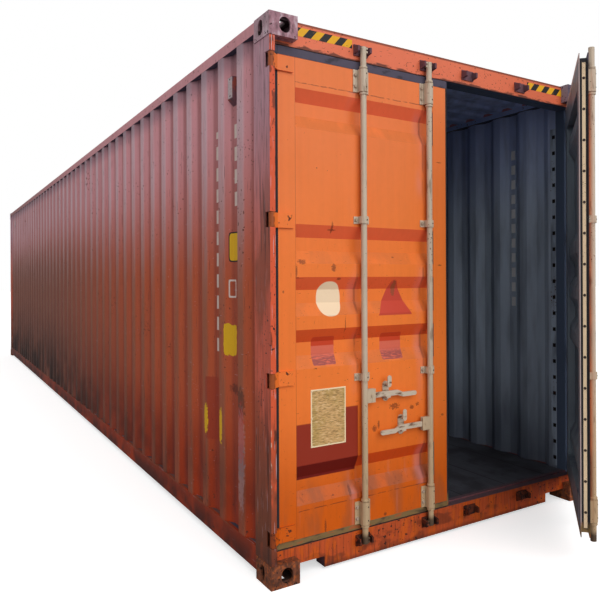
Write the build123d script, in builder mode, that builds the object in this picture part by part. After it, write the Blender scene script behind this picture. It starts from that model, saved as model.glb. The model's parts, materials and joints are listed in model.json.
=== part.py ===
from build123d import *
import os
from math import cos, pi, radians, sin

# Forty foot high-cube shipping container, in millimetres.
# X runs along the container with the doors at +X, Y across it and Z up.
# The origin is on the ground, at the middle of the four bottom corner castings.
# The left door is the one at -Y. It is shut, and the right door stands open.

# Overall size
LENGTH = 12192
WIDTH = 2438
HEIGHT = 2896

# How far rails, posts and end faces lie inside the faces of the castings
FRAME_SET = 4

# Ends and sides. A side is +1 for the left wall at -Y and -1 for the right wall.
DOOR_END = 1
FRONT_END = -1
LEFT = 1
RIGHT = -1

# Corner castings
CAST_LENGTH = 178
CAST_WIDTH = 162
CAST_HEIGHT = 118
CAST_LOAD_WALL = 28.5
CAST_OUTER_WALL = 15
CAST_INNER_WALL = 11
APERTURE_END_INSET = 103.5
APERTURE_SIDE_INSET = 89.5
LOAD_APERTURE_LENGTH = 124
LOAD_APERTURE_WIDTH = 63.5
END_APERTURE_WIDTH = 63.5
SIDE_APERTURE_WIDTH = 51
UPRIGHT_APERTURE_HEIGHT = 79.5
UPRIGHT_APERTURE_RISE = 57.5

# Side rails
TOP_RAIL_SIZE = 60
TOP_RAIL_WALL = 3
BOTTOM_RAIL_CLEARANCE = 40
BOTTOM_RAIL_HEIGHT = 122
BOTTOM_RAIL_TOP_FLANGE = 60
BOTTOM_RAIL_LOW_FLANGE = 30
BOTTOM_RAIL_WALL = 4.5

# Posts at the door end: a narrow nose beside the doors and a deeper box behind,
# which lies within the width of the top rail
POST_WALL = 6
POST_SIDE_LENGTH = 189
NOSE_WIDTH = 30
NOSE_DEPTH = 114
POST_BODY_SET = 4
POST_BODY_WIDTH = TOP_RAIL_SIZE - POST_BODY_SET

# Posts at the front end: an L-shaped tube
FRONT_POST_SIDE = 180
FRONT_POST_FACE = 106
FRONT_POST_ARM = 40

# Floor and what carries it
FLOOR_TOP = 170
FLOOR_THICKNESS = 28
CROSS_MEMBER_PITCH = 400
CROSS_MEMBER_FLANGE = 45
CROSS_MEMBER_WALL = 4
FLOOR_PANEL_GAP = 2
FLOOR_PANELS = 5

# Corrugated side walls
SHEET = 2
SIDE_WALL_SET = 5
SIDE_RIB_OUTER = 72
SIDE_RIB_SLOPE = 68
SIDE_RIB_INNER = 70
SIDE_RIB_DEPTH = 36
SIDE_FIRST_FLAT = 85

# Corrugated front wall
FRONT_WALL_SET = 6
FRONT_RIB_OUTER = 110
FRONT_RIB_SLOPE = 18
FRONT_RIB_INNER = 104
FRONT_RIB_DEPTH = 45.6

# Corrugated roof
ROOF_SET = 6
ROOF_RIB_OUTER = 91
ROOF_RIB_SLOPE = 13.5
ROOF_RIB_INNER = 91
ROOF_RIB_DEPTH = 20

# Header and sill of the door end
DOOR_FACE_DEPTH = 60
HEADER_HEIGHT = 135
HEADER_WALL = 5
SILL_CLEARANCE = 15
SILL_DEPTH = 90
SILL_HEIGHT = 147
SILL_WALL = 5
SILL_NOTCH_LENGTH = 180
SILL_NOTCH_HEIGHT = 58

# Header and sill of the front end
FRONT_FRAME_SET = 8
FRONT_HEADER_HEIGHT = 132
FRONT_HEADER_DEPTH = 60
FRONT_SILL_DEPTH = 72
FRONT_FRAME_WALL = 4

# Door leaves
LEAF_EDGE = 76
LEAF_CENTRE_GAP = 14
LEAF_SILL_GAP = 38
LEAF_HEADER_GAP = 35
LEAF_THICKNESS = 50
LEAF_STILE = 100
LEAF_RAIL = 141
LEAF_TUBE_WALL = 4
LEAF_RIB_SLOPE = 68
LEAF_RIB_INNER = 70
LEAF_RIB_DEPTH = 36
LEAF_NARROW_FLAT = 71
LEAF_END_FLAT = 29

# Door gaskets
GASKET_BASE = 4
GASKET_FIN = 5
GASKET_LIP = 30
GASKET_CENTRE_LIP = 11

# Door hinges
PIN_INSET = 22
PIN_DEPTH = 22
PIN_RADIUS = 9
PIN_FIT = 0.25
KNUCKLE_RADIUS = 16
BLADE_HEIGHT = 75
BLADE_THICKNESS = 12
BLADE_REACH = 138
LUG_THICKNESS = 14
LUG_GAP = 1.5
NOTCH_DEPTH = 58
LOW_HINGE_RISE = 45
HIGH_HINGE_DROP = 62
MIDDLE_HINGE_SHARES = (0.334, 0.656)

# Lock rods
ROD_RADIUS = 17
ROD_DEPTH = 30
ROD_OVER_HEADER = 73
ROD_OVER_SILL = 67
OUTER_ROD_REACH = 509
INNER_ROD_REACH = 152
GUIDE_WIDTH = 100
GUIDE_THICKNESS = 5
GUIDE_FIT = 1.5
END_GUIDE_HEIGHT = 124
END_GUIDE_RISE = 62
END_GUIDE_DROP = 77
CLIP_HEIGHT = 40
CLIP_SHARES = (0.322, 0.665)

# Cams at the rod ends and their keepers
CAM_REACH = 26
CAM_WIDTH = 14
CAM_THICKNESS = 10
CAM_GAP = 10
KEEPER_WIDTH = 92
KEEPER_HEIGHT = 60
KEEPER_BASE = 8
HORN_GAP = 68
HORN_THICKNESS = 12
HORN_HEIGHT = 46
HORN_TIP_DEPTH = 12
HORN_TIP_HEIGHT = 30

# Handles, their hubs and the bolts that they lift on
OUTER_HANDLE_RISE = 705
INNER_HANDLE_RISE = 502
HUB_REACH = 66
HUB_HEIGHT = 76
HUB_PLATE = 5
HUB_BOLT_REACH = 42
HUB_BOLT_RADIUS = 6
HUB_BOLT_HEAD = 4
HUB_BOLT_HEAD_RADIUS = 10
HUB_BOLT_HEAD_SIDES = 6
HANDLE_THICKNESS = 10
HANDLE_FIT = 1
HANDLE_HEIGHT = 30
GRIP_HEIGHT = 26
HANDLE_REACH = 362
HANDLE_JOGGLE_START = 225
HANDLE_JOGGLE_END = 262
HANDLE_DROP = 15

# Handle retainers and their catches
OUTER_RETAINER_REACH = 160
INNER_RETAINER_REACH = 200
RETAINER_WIDTH = 42
RETAINER_THICKNESS = 6
RETAINER_BELOW = 46
RETAINER_ABOVE = 68
SHELF_WIDTH = 30
SHELF_THICKNESS = 9
SHELF_GAP = 0.5
CATCH_PIVOT_RISE = 50
CATCH_BOSS_RADIUS = 7
CATCH_PIN_RADIUS = 5
CATCH_PIN_FIT = 0.25
CATCH_WIDTH = 26
CATCH_LENGTH = 66
CATCH_THICKNESS = 5
CATCH_GAP = 5

# Ventilators
VENT_HEIGHT = 155
VENT_WIDTH = 66
VENT_DROP = 138
VENT_SLANT = 32
VENT_SET = 9

# Small round pieces are drawn with this many sides, and their bores clear the
# corners of what turns in them
SMALL_SIDES = 12
FLAT_SHARE = cos(pi / SMALL_SIDES)

# Places that follow from the sizes above
END = LENGTH / 2
HALF_WIDTH = WIDTH / 2
POST_BOTTOM = CAST_HEIGHT
POST_TOP = HEIGHT - CAST_HEIGHT
TOP_RAIL_TOP = HEIGHT - FRAME_SET
TOP_RAIL_BOTTOM = TOP_RAIL_TOP - TOP_RAIL_SIZE
BOTTOM_RAIL_TOP = BOTTOM_RAIL_CLEARANCE + BOTTOM_RAIL_HEIGHT
FLOOR_BOTTOM = FLOOR_TOP - FLOOR_THICKNESS
INSIDE_RAILS = FRAME_SET + TOP_RAIL_SIZE
HEADER_BOTTOM = TOP_RAIL_TOP - HEADER_HEIGHT
HEADER_DEPTH = CAST_LENGTH - DOOR_FACE_DEPTH
SILL_TOP = SILL_CLEARANCE + SILL_HEIGHT
REAR_POST_END = FRAME_SET + POST_SIDE_LENGTH
FRONT_POST_END = FRAME_SET + FRONT_POST_SIDE
LEAF_INNER_EDGE = HALF_WIDTH - LEAF_CENTRE_GAP
LEAF_BOTTOM = SILL_TOP + LEAF_SILL_GAP
LEAF_TOP = HEADER_BOTTOM - LEAF_HEADER_GAP
LEAF_HEIGHT = LEAF_TOP - LEAF_BOTTOM
HINGE_HEIGHTS = (
    LEAF_BOTTOM + LOW_HINGE_RISE,
    *(LEAF_BOTTOM + share * LEAF_HEIGHT for share in MIDDLE_HINGE_SHARES),
    LEAF_TOP - HIGH_HINGE_DROP,
)
GUIDE_CENTRES = (LEAF_BOTTOM + END_GUIDE_RISE, LEAF_TOP - END_GUIDE_DROP)
CLIP_CENTRES = tuple(LEAF_BOTTOM + share * LEAF_HEIGHT for share in CLIP_SHARES)
ROD_BOTTOM = SILL_TOP - ROD_OVER_SILL
ROD_TOP = HEADER_BOTTOM + ROD_OVER_HEADER
CAM_SPAN = 2 * CAM_THICKNESS + CAM_GAP
KEEPER_CENTRES = (ROD_BOTTOM + CAM_SPAN / 2, ROD_TOP - CAM_SPAN / 2)
OUTER_ROD_INSET = LEAF_EDGE + OUTER_ROD_REACH
INNER_ROD_INSET = LEAF_INNER_EDGE - INNER_ROD_REACH
OUTER_HANDLE_HEIGHT = LEAF_BOTTOM + OUTER_HANDLE_RISE
INNER_HANDLE_HEIGHT = LEAF_BOTTOM + INNER_HANDLE_RISE
VENT_TOP = TOP_RAIL_BOTTOM - VENT_DROP

# The right door stands open by this angle
RIGHT_DOOR_OPEN = 42


def corner_plane(end, side):
    """A level plane at a bottom corner: X runs inwards across the width from the
    side face, and Y runs inwards along the length times side * end."""
    return Plane(
        origin=(end * END, -side * HALF_WIDTH, 0), x_dir=(0, side, 0), z_dir=(0, 0, 1)
    )


def door_plane(side, opened):
    """A level plane at a door's hinge pin: X runs along the leaf towards its free
    edge, and Y runs inwards through its thickness times side."""
    turn = radians(opened)
    return Plane(
        origin=(END - PIN_DEPTH, -side * (HALF_WIDTH - PIN_INSET), 0),
        x_dir=(sin(turn), side * cos(turn), 0),
        z_dir=(0, 0, 1),
    )


def leaf_plane(side, opened, depth):
    """An upright plane parallel to a leaf, at a depth behind the end face while the
    leaf is shut: X is the distance from the side face and Y the height."""
    level = door_plane(side, opened)
    corner = level.from_local_coords((-PIN_INSET, side * (depth - PIN_DEPTH), 0))
    return Plane(origin=corner, x_dir=level.x_dir, z_dir=level.x_dir.cross(level.z_dir))


def middle(low, high):
    return (low + high) / 2


def rectangle(x_low, x_high, y_low, y_high, mode=Mode.ADD):
    """A rectangle between two pairs of limits, in the sketch that is being drawn."""
    with Locations((middle(x_low, x_high), middle(y_low, y_high))):
        Rectangle(abs(x_high - x_low), abs(y_high - y_low), mode=mode)


def few_sided(radius):
    """A round outline with few sides, in the sketch that is being drawn."""
    RegularPolygon(radius, SMALL_SIDES)


def turning_bore(radius):
    """A few-sided bore in which a pin of this radius can turn, cut from the sketch."""
    RegularPolygon((radius + PIN_FIT) / FLAT_SHARE, SMALL_SIDES, mode=Mode.SUBTRACT)


def corrugation(start, stop, outer, slope, inner, depth, first_flat, first_inner):
    """Points of a corrugated line from start to stop, as (along, depth) pairs.
    It begins with first_flat, and whatever is left over ends it."""
    low = first_inner
    points = [(start, depth if low else 0)]
    along = start + first_flat
    while along + slope < stop:
        points.append((along, depth if low else 0))
        low = not low
        along += slope
        points.append((along, depth if low else 0))
        along += inner if low else outer
    points.append((stop, depth if low else 0))
    return points


def sheet_outline(points, thickness):
    """The closed outline of a sheet whose outer face follows the points."""
    back = [(along, depth + thickness) for along, depth in reversed(points)]
    return points + back


def corner_castings(top):
    """Four hollow castings with an aperture in the load face, the end and the side."""
    bottom = HEIGHT - CAST_HEIGHT if top else 0
    load_face = HEIGHT if top else 0
    up = 1 if top else -1
    load_wall_bottom = HEIGHT - CAST_LOAD_WALL if top else 0
    cavity_bottom = bottom + (CAST_INNER_WALL if top else CAST_LOAD_WALL)
    cavity_height = CAST_HEIGHT - CAST_LOAD_WALL - CAST_INNER_WALL
    upright_centre = load_face - up * UPRIGHT_APERTURE_RISE
    with BuildPart() as castings:
        for end in (DOOR_END, FRONT_END):
            for side in (LEFT, RIGHT):
                plan = corner_plane(end, side)
                inwards = side * end
                with BuildSketch(plan.offset(bottom)):
                    rectangle(0, CAST_WIDTH, 0, inwards * CAST_LENGTH)
                extrude(amount=CAST_HEIGHT)
                with BuildSketch(plan.offset(cavity_bottom)):
                    rectangle(
                        CAST_OUTER_WALL,
                        CAST_WIDTH - CAST_INNER_WALL,
                        inwards * CAST_OUTER_WALL,
                        inwards * (CAST_LENGTH - CAST_INNER_WALL),
                    )
                extrude(amount=cavity_height, mode=Mode.SUBTRACT)
                with BuildSketch(plan.offset(load_wall_bottom)):
                    with Locations((APERTURE_SIDE_INSET, inwards * APERTURE_END_INSET)):
                        SlotOverall(LOAD_APERTURE_LENGTH, LOAD_APERTURE_WIDTH, rotation=90)
                extrude(amount=CAST_LOAD_WALL, mode=Mode.SUBTRACT)
                end_face = Plane(
                    origin=(end * END, -side * (HALF_WIDTH - APERTURE_SIDE_INSET), upright_centre),
                    x_dir=(0, 1, 0),
                    z_dir=(end, 0, 0),
                )
                with BuildSketch(end_face):
                    SlotOverall(UPRIGHT_APERTURE_HEIGHT, END_APERTURE_WIDTH, rotation=90)
                extrude(amount=-CAST_OUTER_WALL, mode=Mode.SUBTRACT)
                side_face = Plane(
                    origin=(end * (END - APERTURE_END_INSET), -side * HALF_WIDTH, upright_centre),
                    x_dir=(1, 0, 0),
                    z_dir=(0, -side, 0),
                )
                with BuildSketch(side_face):
                    SlotOverall(UPRIGHT_APERTURE_HEIGHT, SIDE_APERTURE_WIDTH, rotation=90)
                extrude(amount=-CAST_OUTER_WALL, mode=Mode.SUBTRACT)
    castings.part.label = "top_corner_castings" if top else "bottom_corner_castings"
    return castings


def door_corner_posts():
    """Two folded tubes, notched at the corner for the hinge blades, with the lugs
    that hold the hinge pins above and below each notch."""
    lug_start = BLADE_HEIGHT / 2 + LUG_GAP
    lug_end = lug_start + LUG_THICKNESS
    nose_outer = FRAME_SET + NOSE_WIDTH
    nose_back = FRAME_SET + NOSE_DEPTH
    body_inner = FRAME_SET + POST_BODY_WIDTH
    with BuildPart() as posts:
        for side in (LEFT, RIGHT):
            plan = corner_plane(DOOR_END, side)
            outline = [
                (FRAME_SET, FRAME_SET),
                (nose_outer, FRAME_SET),
                (nose_outer, nose_back),
                (body_inner, nose_back),
                (body_inner, REAR_POST_END),
                (FRAME_SET, REAR_POST_END),
            ]
            with BuildSketch(plan.offset(POST_BOTTOM)):
                with BuildLine():
                    Polyline(*[(w, side * d) for w, d in outline], close=True)
                make_face()
                offset(amount=-POST_WALL, kind=Kind.INTERSECTION, mode=Mode.SUBTRACT)
            extrude(amount=POST_TOP - POST_BOTTOM)
            with BuildSketch(plan.offset(POST_TOP)):
                rectangle(FRAME_SET, body_inner, side * CAST_LENGTH, side * REAR_POST_END)
            extrude(amount=TOP_RAIL_BOTTOM - POST_TOP)
            for height in HINGE_HEIGHTS:
                with BuildSketch(plan.offset(height - lug_start)):
                    rectangle(0, nose_outer, 0, side * NOTCH_DEPTH)
                extrude(amount=2 * lug_start, mode=Mode.SUBTRACT)
                for lug_bottom in (height - lug_end, height + lug_start):
                    with BuildSketch(plan.offset(lug_bottom)):
                        rectangle(
                            FRAME_SET + POST_WALL,
                            nose_outer - POST_WALL,
                            side * (FRAME_SET + POST_WALL),
                            side * NOTCH_DEPTH,
                        )
                    extrude(amount=LUG_THICKNESS)
                    with BuildSketch(plan.offset(lug_bottom)):
                        with Locations((PIN_INSET, side * PIN_DEPTH)):
                            few_sided(PIN_RADIUS + PIN_FIT)
                    extrude(amount=LUG_THICKNESS, mode=Mode.SUBTRACT)
    posts.part.label = "door_corner_posts"
    return posts


def hinge_pins():
    """A pin through the lugs of each of the eight hinges."""
    half_length = BLADE_HEIGHT / 2 + LUG_GAP + LUG_THICKNESS
    with BuildPart() as pins:
        for side in (LEFT, RIGHT):
            for height in HINGE_HEIGHTS:
                with BuildSketch(corner_plane(DOOR_END, side).offset(height - half_length)):
                    with Locations((PIN_INSET, side * PIN_DEPTH)):
                        few_sided(PIN_RADIUS)
                extrude(amount=2 * half_length)
    pins.part.label = "hinge_pins"
    return pins


def front_corner_posts():
    """Two L-shaped tubes at the closed end."""
    face_end = FRAME_SET + FRONT_POST_FACE
    arm = FRAME_SET + FRONT_POST_ARM
    outline = [
        (FRAME_SET, FRAME_SET),
        (face_end, FRAME_SET),
        (face_end, arm),
        (arm, arm),
        (arm, FRONT_POST_END),
        (FRAME_SET, FRONT_POST_END),
    ]
    with BuildPart() as posts:
        for side in (LEFT, RIGHT):
            plan = corner_plane(FRONT_END, side)
            inwards = side * FRONT_END
            with BuildSketch(plan.offset(POST_BOTTOM)):
                with BuildLine():
                    Polyline(*[(w, inwards * d) for w, d in outline], close=True)
                make_face()
                offset(amount=-POST_WALL, kind=Kind.INTERSECTION, mode=Mode.SUBTRACT)
            extrude(amount=POST_TOP - POST_BOTTOM)
            with BuildSketch(plan.offset(POST_TOP)):
                rectangle(FRAME_SET, arm, inwards * CAST_LENGTH, inwards * FRONT_POST_END)
            extrude(amount=TOP_RAIL_BOTTOM - POST_TOP)
    posts.part.label = "front_corner_posts"
    return posts


def top_side_rails():
    """Square tubes between the top castings."""
    length = LENGTH - 2 * CAST_LENGTH
    with BuildPart() as rails:
        for side in (LEFT, RIGHT):
            centre = -side * (HALF_WIDTH - FRAME_SET - TOP_RAIL_SIZE / 2)
            start = Plane(
                origin=(-length / 2, centre, TOP_RAIL_TOP - TOP_RAIL_SIZE / 2),
                x_dir=(0, 1, 0),
                z_dir=(1, 0, 0),
            )
            with BuildSketch(start):
                Rectangle(TOP_RAIL_SIZE, TOP_RAIL_SIZE)
                offset(amount=-TOP_RAIL_WALL, kind=Kind.INTERSECTION, mode=Mode.SUBTRACT)
            extrude(amount=length)
    rails.part.label = "top_side_rails"
    return rails


def bottom_side_rails():
    """Channels between the bottom castings, open inwards, cut away under the posts."""
    length = LENGTH - 2 * CAST_LENGTH
    post_ends = ((DOOR_END, REAR_POST_END), (FRONT_END, FRONT_POST_END))
    with BuildPart() as rails:
        for side in (LEFT, RIGHT):
            start = Plane(
                origin=(-length / 2, -side * (HALF_WIDTH - FRAME_SET), BOTTOM_RAIL_CLEARANCE),
                x_dir=(0, side, 0),
                z_dir=(side, 0, 0),
            )
            with BuildSketch(start):
                rectangle(0, BOTTOM_RAIL_TOP_FLANGE, 0, BOTTOM_RAIL_HEIGHT)
                rectangle(
                    BOTTOM_RAIL_WALL,
                    BOTTOM_RAIL_TOP_FLANGE,
                    BOTTOM_RAIL_WALL,
                    BOTTOM_RAIL_HEIGHT - BOTTOM_RAIL_WALL,
                    mode=Mode.SUBTRACT,
                )
                rectangle(
                    BOTTOM_RAIL_LOW_FLANGE,
                    BOTTOM_RAIL_TOP_FLANGE,
                    0,
                    BOTTOM_RAIL_WALL,
                    mode=Mode.SUBTRACT,
                )
            extrude(amount=side * length)
            for end, post_end in post_ends:
                with BuildSketch(corner_plane(end, side).offset(POST_BOTTOM)):
                    rectangle(0, FRAME_SET + BOTTOM_RAIL_TOP_FLANGE, 0, side * end * post_end)
                extrude(amount=BOTTOM_RAIL_TOP - POST_BOTTOM, mode=Mode.SUBTRACT)
    rails.part.label = "bottom_side_rails"
    return rails


def cross_members():
    """Channels between the bottom rails, under the floor."""
    first = -END + FRONT_FRAME_SET + FRONT_SILL_DEPTH
    last = END - DOOR_FACE_DEPTH - SILL_DEPTH
    bays = round((last - first) / CROSS_MEMBER_PITCH)
    pitch = (last - first) / bays
    half_length = HALF_WIDTH - FRAME_SET - BOTTOM_RAIL_WALL
    bottom = BOTTOM_RAIL_CLEARANCE + BOTTOM_RAIL_WALL
    half_flange = CROSS_MEMBER_FLANGE / 2
    with BuildPart() as members:
        for bay in range(1, bays):
            place = first + bay * pitch
            start = Plane(origin=(place, -half_length, 0), x_dir=(1, 0, 0), z_dir=(0, -1, 0))
            with BuildSketch(start):
                rectangle(-half_flange, half_flange, bottom, FLOOR_BOTTOM)
                rectangle(
                    CROSS_MEMBER_WALL - half_flange,
                    half_flange,
                    bottom + CROSS_MEMBER_WALL,
                    FLOOR_BOTTOM - CROSS_MEMBER_WALL,
                    mode=Mode.SUBTRACT,
                )
            extrude(amount=-2 * half_length)
    members.part.label = "cross_members"
    return members


def floor_panels():
    """Plywood panels laid across the cross members, end to end."""
    first = -END + FRONT_FRAME_SET + FRONT_SILL_DEPTH
    last = END - DOOR_FACE_DEPTH - SILL_DEPTH
    half_width = HALF_WIDTH - FRAME_SET - BOTTOM_RAIL_TOP_FLANGE
    length = (last - first + FLOOR_PANEL_GAP) / FLOOR_PANELS
    with BuildPart() as panels:
        for index in range(FLOOR_PANELS):
            start = first + index * length
            with BuildSketch(Plane.XY.offset(FLOOR_BOTTOM)):
                rectangle(start, start + length - FLOOR_PANEL_GAP, -half_width, half_width)
            extrude(amount=FLOOR_THICKNESS)
    panels.part.label = "floor_panels"
    return panels


def side_wall(side, name):
    """A corrugated sheet from post to post, between the bottom and the top rail."""
    points = corrugation(
        REAR_POST_END,
        LENGTH - FRONT_POST_END,
        SIDE_RIB_OUTER,
        SIDE_RIB_SLOPE,
        SIDE_RIB_INNER,
        SIDE_RIB_DEPTH,
        SIDE_FIRST_FLAT,
        True,
    )
    outline = sheet_outline(points, SHEET)
    with BuildPart() as wall:
        with BuildSketch(corner_plane(DOOR_END, side).offset(BOTTOM_RAIL_TOP)):
            with BuildLine():
                Polyline(
                    *[(SIDE_WALL_SET + depth, side * along) for along, depth in outline],
                    close=True,
                )
            make_face()
        extrude(amount=TOP_RAIL_BOTTOM - BOTTOM_RAIL_TOP)
    wall.part.label = name
    return wall


def front_wall():
    """The corrugated sheet of the closed end."""
    start = FRAME_SET + FRONT_POST_FACE
    stop = WIDTH - start
    pitch = FRONT_RIB_OUTER + FRONT_RIB_INNER + 2 * FRONT_RIB_SLOPE
    ribs = int((stop - start - FRONT_RIB_OUTER) / pitch)
    first_flat = (stop - start - ribs * pitch + FRONT_RIB_OUTER) / 2
    points = corrugation(
        start,
        stop,
        FRONT_RIB_OUTER,
        FRONT_RIB_SLOPE,
        FRONT_RIB_INNER,
        FRONT_RIB_DEPTH,
        first_flat,
        False,
    )
    outline = sheet_outline(points, SHEET)
    with BuildPart() as wall:
        with BuildSketch(corner_plane(FRONT_END, LEFT).offset(FLOOR_TOP)):
            with BuildLine():
                Polyline(
                    *[(along, -FRONT_WALL_SET - depth) for along, depth in outline],
                    close=True,
                )
            make_face()
        extrude(amount=TOP_RAIL_TOP - FRONT_HEADER_HEIGHT - FLOOR_TOP)
    wall.part.label = "front_wall"
    return wall


def roof():
    """One corrugated sheet between the top rails, from casting to casting."""
    half_width = HALF_WIDTH - INSIDE_RAILS
    length = LENGTH - 2 * CAST_LENGTH
    pitch = ROOF_RIB_OUTER + ROOF_RIB_INNER + 2 * ROOF_RIB_SLOPE
    ribs = int((length - ROOF_RIB_OUTER) / pitch)
    first_flat = (length - ribs * pitch + ROOF_RIB_OUTER) / 2
    points = corrugation(
        CAST_LENGTH,
        LENGTH - CAST_LENGTH,
        ROOF_RIB_OUTER,
        ROOF_RIB_SLOPE,
        ROOF_RIB_INNER,
        ROOF_RIB_DEPTH,
        first_flat,
        False,
    )
    outline = sheet_outline(points, SHEET)
    across = Plane(origin=(-END, -half_width, 0), x_dir=(1, 0, 0), z_dir=(0, -1, 0))
    with BuildPart() as panel:
        with BuildSketch(across):
            with BuildLine():
                Polyline(
                    *[(along, HEIGHT - ROOF_SET - depth) for along, depth in outline],
                    close=True,
                )
            make_face()
        extrude(amount=-2 * half_width)
    panel.part.label = "roof"
    return panel


def end_beam(end, face_depth, depth, bottom, top, wide_bottom, wide_top, wide_half, wall):
    """A hollow beam across one end. It fits between the castings, and where it is
    clear of them, from wide_bottom to wide_top, it reaches out to the posts."""
    half_length = HALF_WIDTH - CAST_WIDTH
    face = Plane(
        origin=(end * (END - face_depth), 0, 0), x_dir=(0, end, 0), z_dir=(end, 0, 0)
    )
    with BuildPart() as beam:
        with BuildSketch(face):
            rectangle(-half_length, half_length, bottom, top)
            rectangle(-wide_half, wide_half, wide_bottom, wide_top)
        extrude(amount=-depth)
        with BuildSketch(face.offset(-wall)):
            rectangle(wall - half_length, half_length - wall, bottom + wall, top - wall)
        extrude(amount=2 * wall - depth, mode=Mode.SUBTRACT)
    return beam


def door_header():
    """The beam over the doors."""
    header = end_beam(
        DOOR_END,
        DOOR_FACE_DEPTH,
        HEADER_DEPTH,
        HEADER_BOTTOM,
        TOP_RAIL_TOP,
        HEADER_BOTTOM,
        POST_TOP,
        HALF_WIDTH - FRAME_SET - POST_BODY_WIDTH,
        HEADER_WALL,
    )
    header.part.label = "door_header"
    return header


def door_sill():
    """The beam under the doors, notched beside both castings, with a threshold
    behind the doors at the level of the floor."""
    half_length = HALF_WIDTH - CAST_WIDTH
    post_half = HALF_WIDTH - FRAME_SET - POST_BODY_WIDTH
    back = END - DOOR_FACE_DEPTH - SILL_DEPTH
    threshold_front = END - FRAME_SET - NOSE_DEPTH
    beam = end_beam(
        DOOR_END,
        DOOR_FACE_DEPTH,
        SILL_DEPTH,
        SILL_CLEARANCE,
        SILL_TOP,
        POST_BOTTOM,
        SILL_TOP,
        post_half,
        SILL_WALL,
    )
    with BuildPart() as sill:
        add(beam.part)
        with BuildSketch(Plane.XY.offset(SILL_TOP)):
            rectangle(back, threshold_front, -post_half, post_half)
        extrude(amount=FLOOR_TOP - SILL_TOP)
        for side in (LEFT, RIGHT):
            notch_end = -side * half_length
            notch_start = -side * (half_length - SILL_NOTCH_LENGTH)
            with BuildSketch(Plane.XY.offset(SILL_CLEARANCE)):
                rectangle(back, END - DOOR_FACE_DEPTH, notch_end, notch_start)
            extrude(amount=SILL_NOTCH_HEIGHT, mode=Mode.SUBTRACT)
            plate_bottom = SILL_CLEARANCE + SILL_NOTCH_HEIGHT
            with BuildSketch(Plane.XY.offset(plate_bottom)):
                rectangle(back, END - DOOR_FACE_DEPTH, notch_end, notch_start + side * SILL_WALL)
            extrude(amount=SILL_WALL)
            with BuildSketch(Plane.XY.offset(SILL_CLEARANCE)):
                rectangle(
                    back, END - DOOR_FACE_DEPTH, notch_start, notch_start + side * SILL_WALL
                )
            extrude(amount=SILL_NOTCH_HEIGHT)
    sill.part.label = "door_sill"
    return sill


def front_header():
    """The beam over the front wall, and the plate between the castings behind it."""
    half_length = HALF_WIDTH - CAST_WIDTH
    beam = end_beam(
        FRONT_END,
        FRONT_FRAME_SET,
        FRONT_HEADER_DEPTH,
        TOP_RAIL_TOP - FRONT_HEADER_HEIGHT,
        TOP_RAIL_TOP,
        TOP_RAIL_TOP - FRONT_HEADER_HEIGHT,
        POST_TOP,
        HALF_WIDTH - FRAME_SET - FRONT_POST_FACE,
        FRONT_FRAME_WALL,
    )
    beam_back = FRONT_FRAME_SET + FRONT_HEADER_DEPTH
    with BuildPart() as header:
        add(beam.part)
        with BuildSketch(Plane.XY.offset(TOP_RAIL_TOP - FRONT_FRAME_WALL)):
            rectangle(beam_back - END, CAST_LENGTH - END, -half_length, half_length)
        extrude(amount=FRONT_FRAME_WALL)
    header.part.label = "front_header"
    return header


def front_sill():
    """The beam under the front wall."""
    sill = end_beam(
        FRONT_END,
        FRONT_FRAME_SET,
        FRONT_SILL_DEPTH,
        SILL_CLEARANCE,
        FLOOR_TOP,
        POST_BOTTOM,
        FLOOR_TOP,
        HALF_WIDTH - FRAME_SET - FRONT_POST_FACE,
        FRONT_FRAME_WALL,
    )
    sill.part.label = "front_sill"
    return sill


def cam_keepers():
    """A keeper for each rod end: a base plate and two tapered horns, four on the
    header and four on the sill."""
    base_depth = DOOR_FACE_DEPTH - KEEPER_BASE
    horn_depth = base_depth - HORN_TIP_DEPTH
    with BuildPart() as keepers:
        for side in (LEFT, RIGHT):
            for inset in (OUTER_ROD_INSET, INNER_ROD_INSET):
                for height in KEEPER_CENTRES:
                    plan = corner_plane(DOOR_END, side)
                    with BuildSketch(plan.offset(height - KEEPER_HEIGHT / 2)):
                        rectangle(
                            inset - KEEPER_WIDTH / 2,
                            inset + KEEPER_WIDTH / 2,
                            side * base_depth,
                            side * DOOR_FACE_DEPTH,
                        )
                    extrude(amount=KEEPER_HEIGHT)
                    for turn in (-1, 1):
                        horn_start = inset + turn * HORN_GAP / 2
                        horn_plane = Plane(
                            origin=plan.from_local_coords((horn_start, 0, height)),
                            x_dir=plan.y_dir * side,
                            z_dir=plan.x_dir * turn,
                        )
                        with BuildSketch(horn_plane):
                            with BuildLine():
                                Polyline(
                                    (base_depth, -HORN_HEIGHT / 2),
                                    (HORN_TIP_DEPTH, -HORN_TIP_HEIGHT / 2),
                                    (HORN_TIP_DEPTH, HORN_TIP_HEIGHT / 2),
                                    (base_depth, HORN_HEIGHT / 2),
                                    close=True,
                                )
                            make_face()
                        extrude(amount=HORN_THICKNESS)
    keepers.part.label = "cam_keepers"
    return keepers


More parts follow.
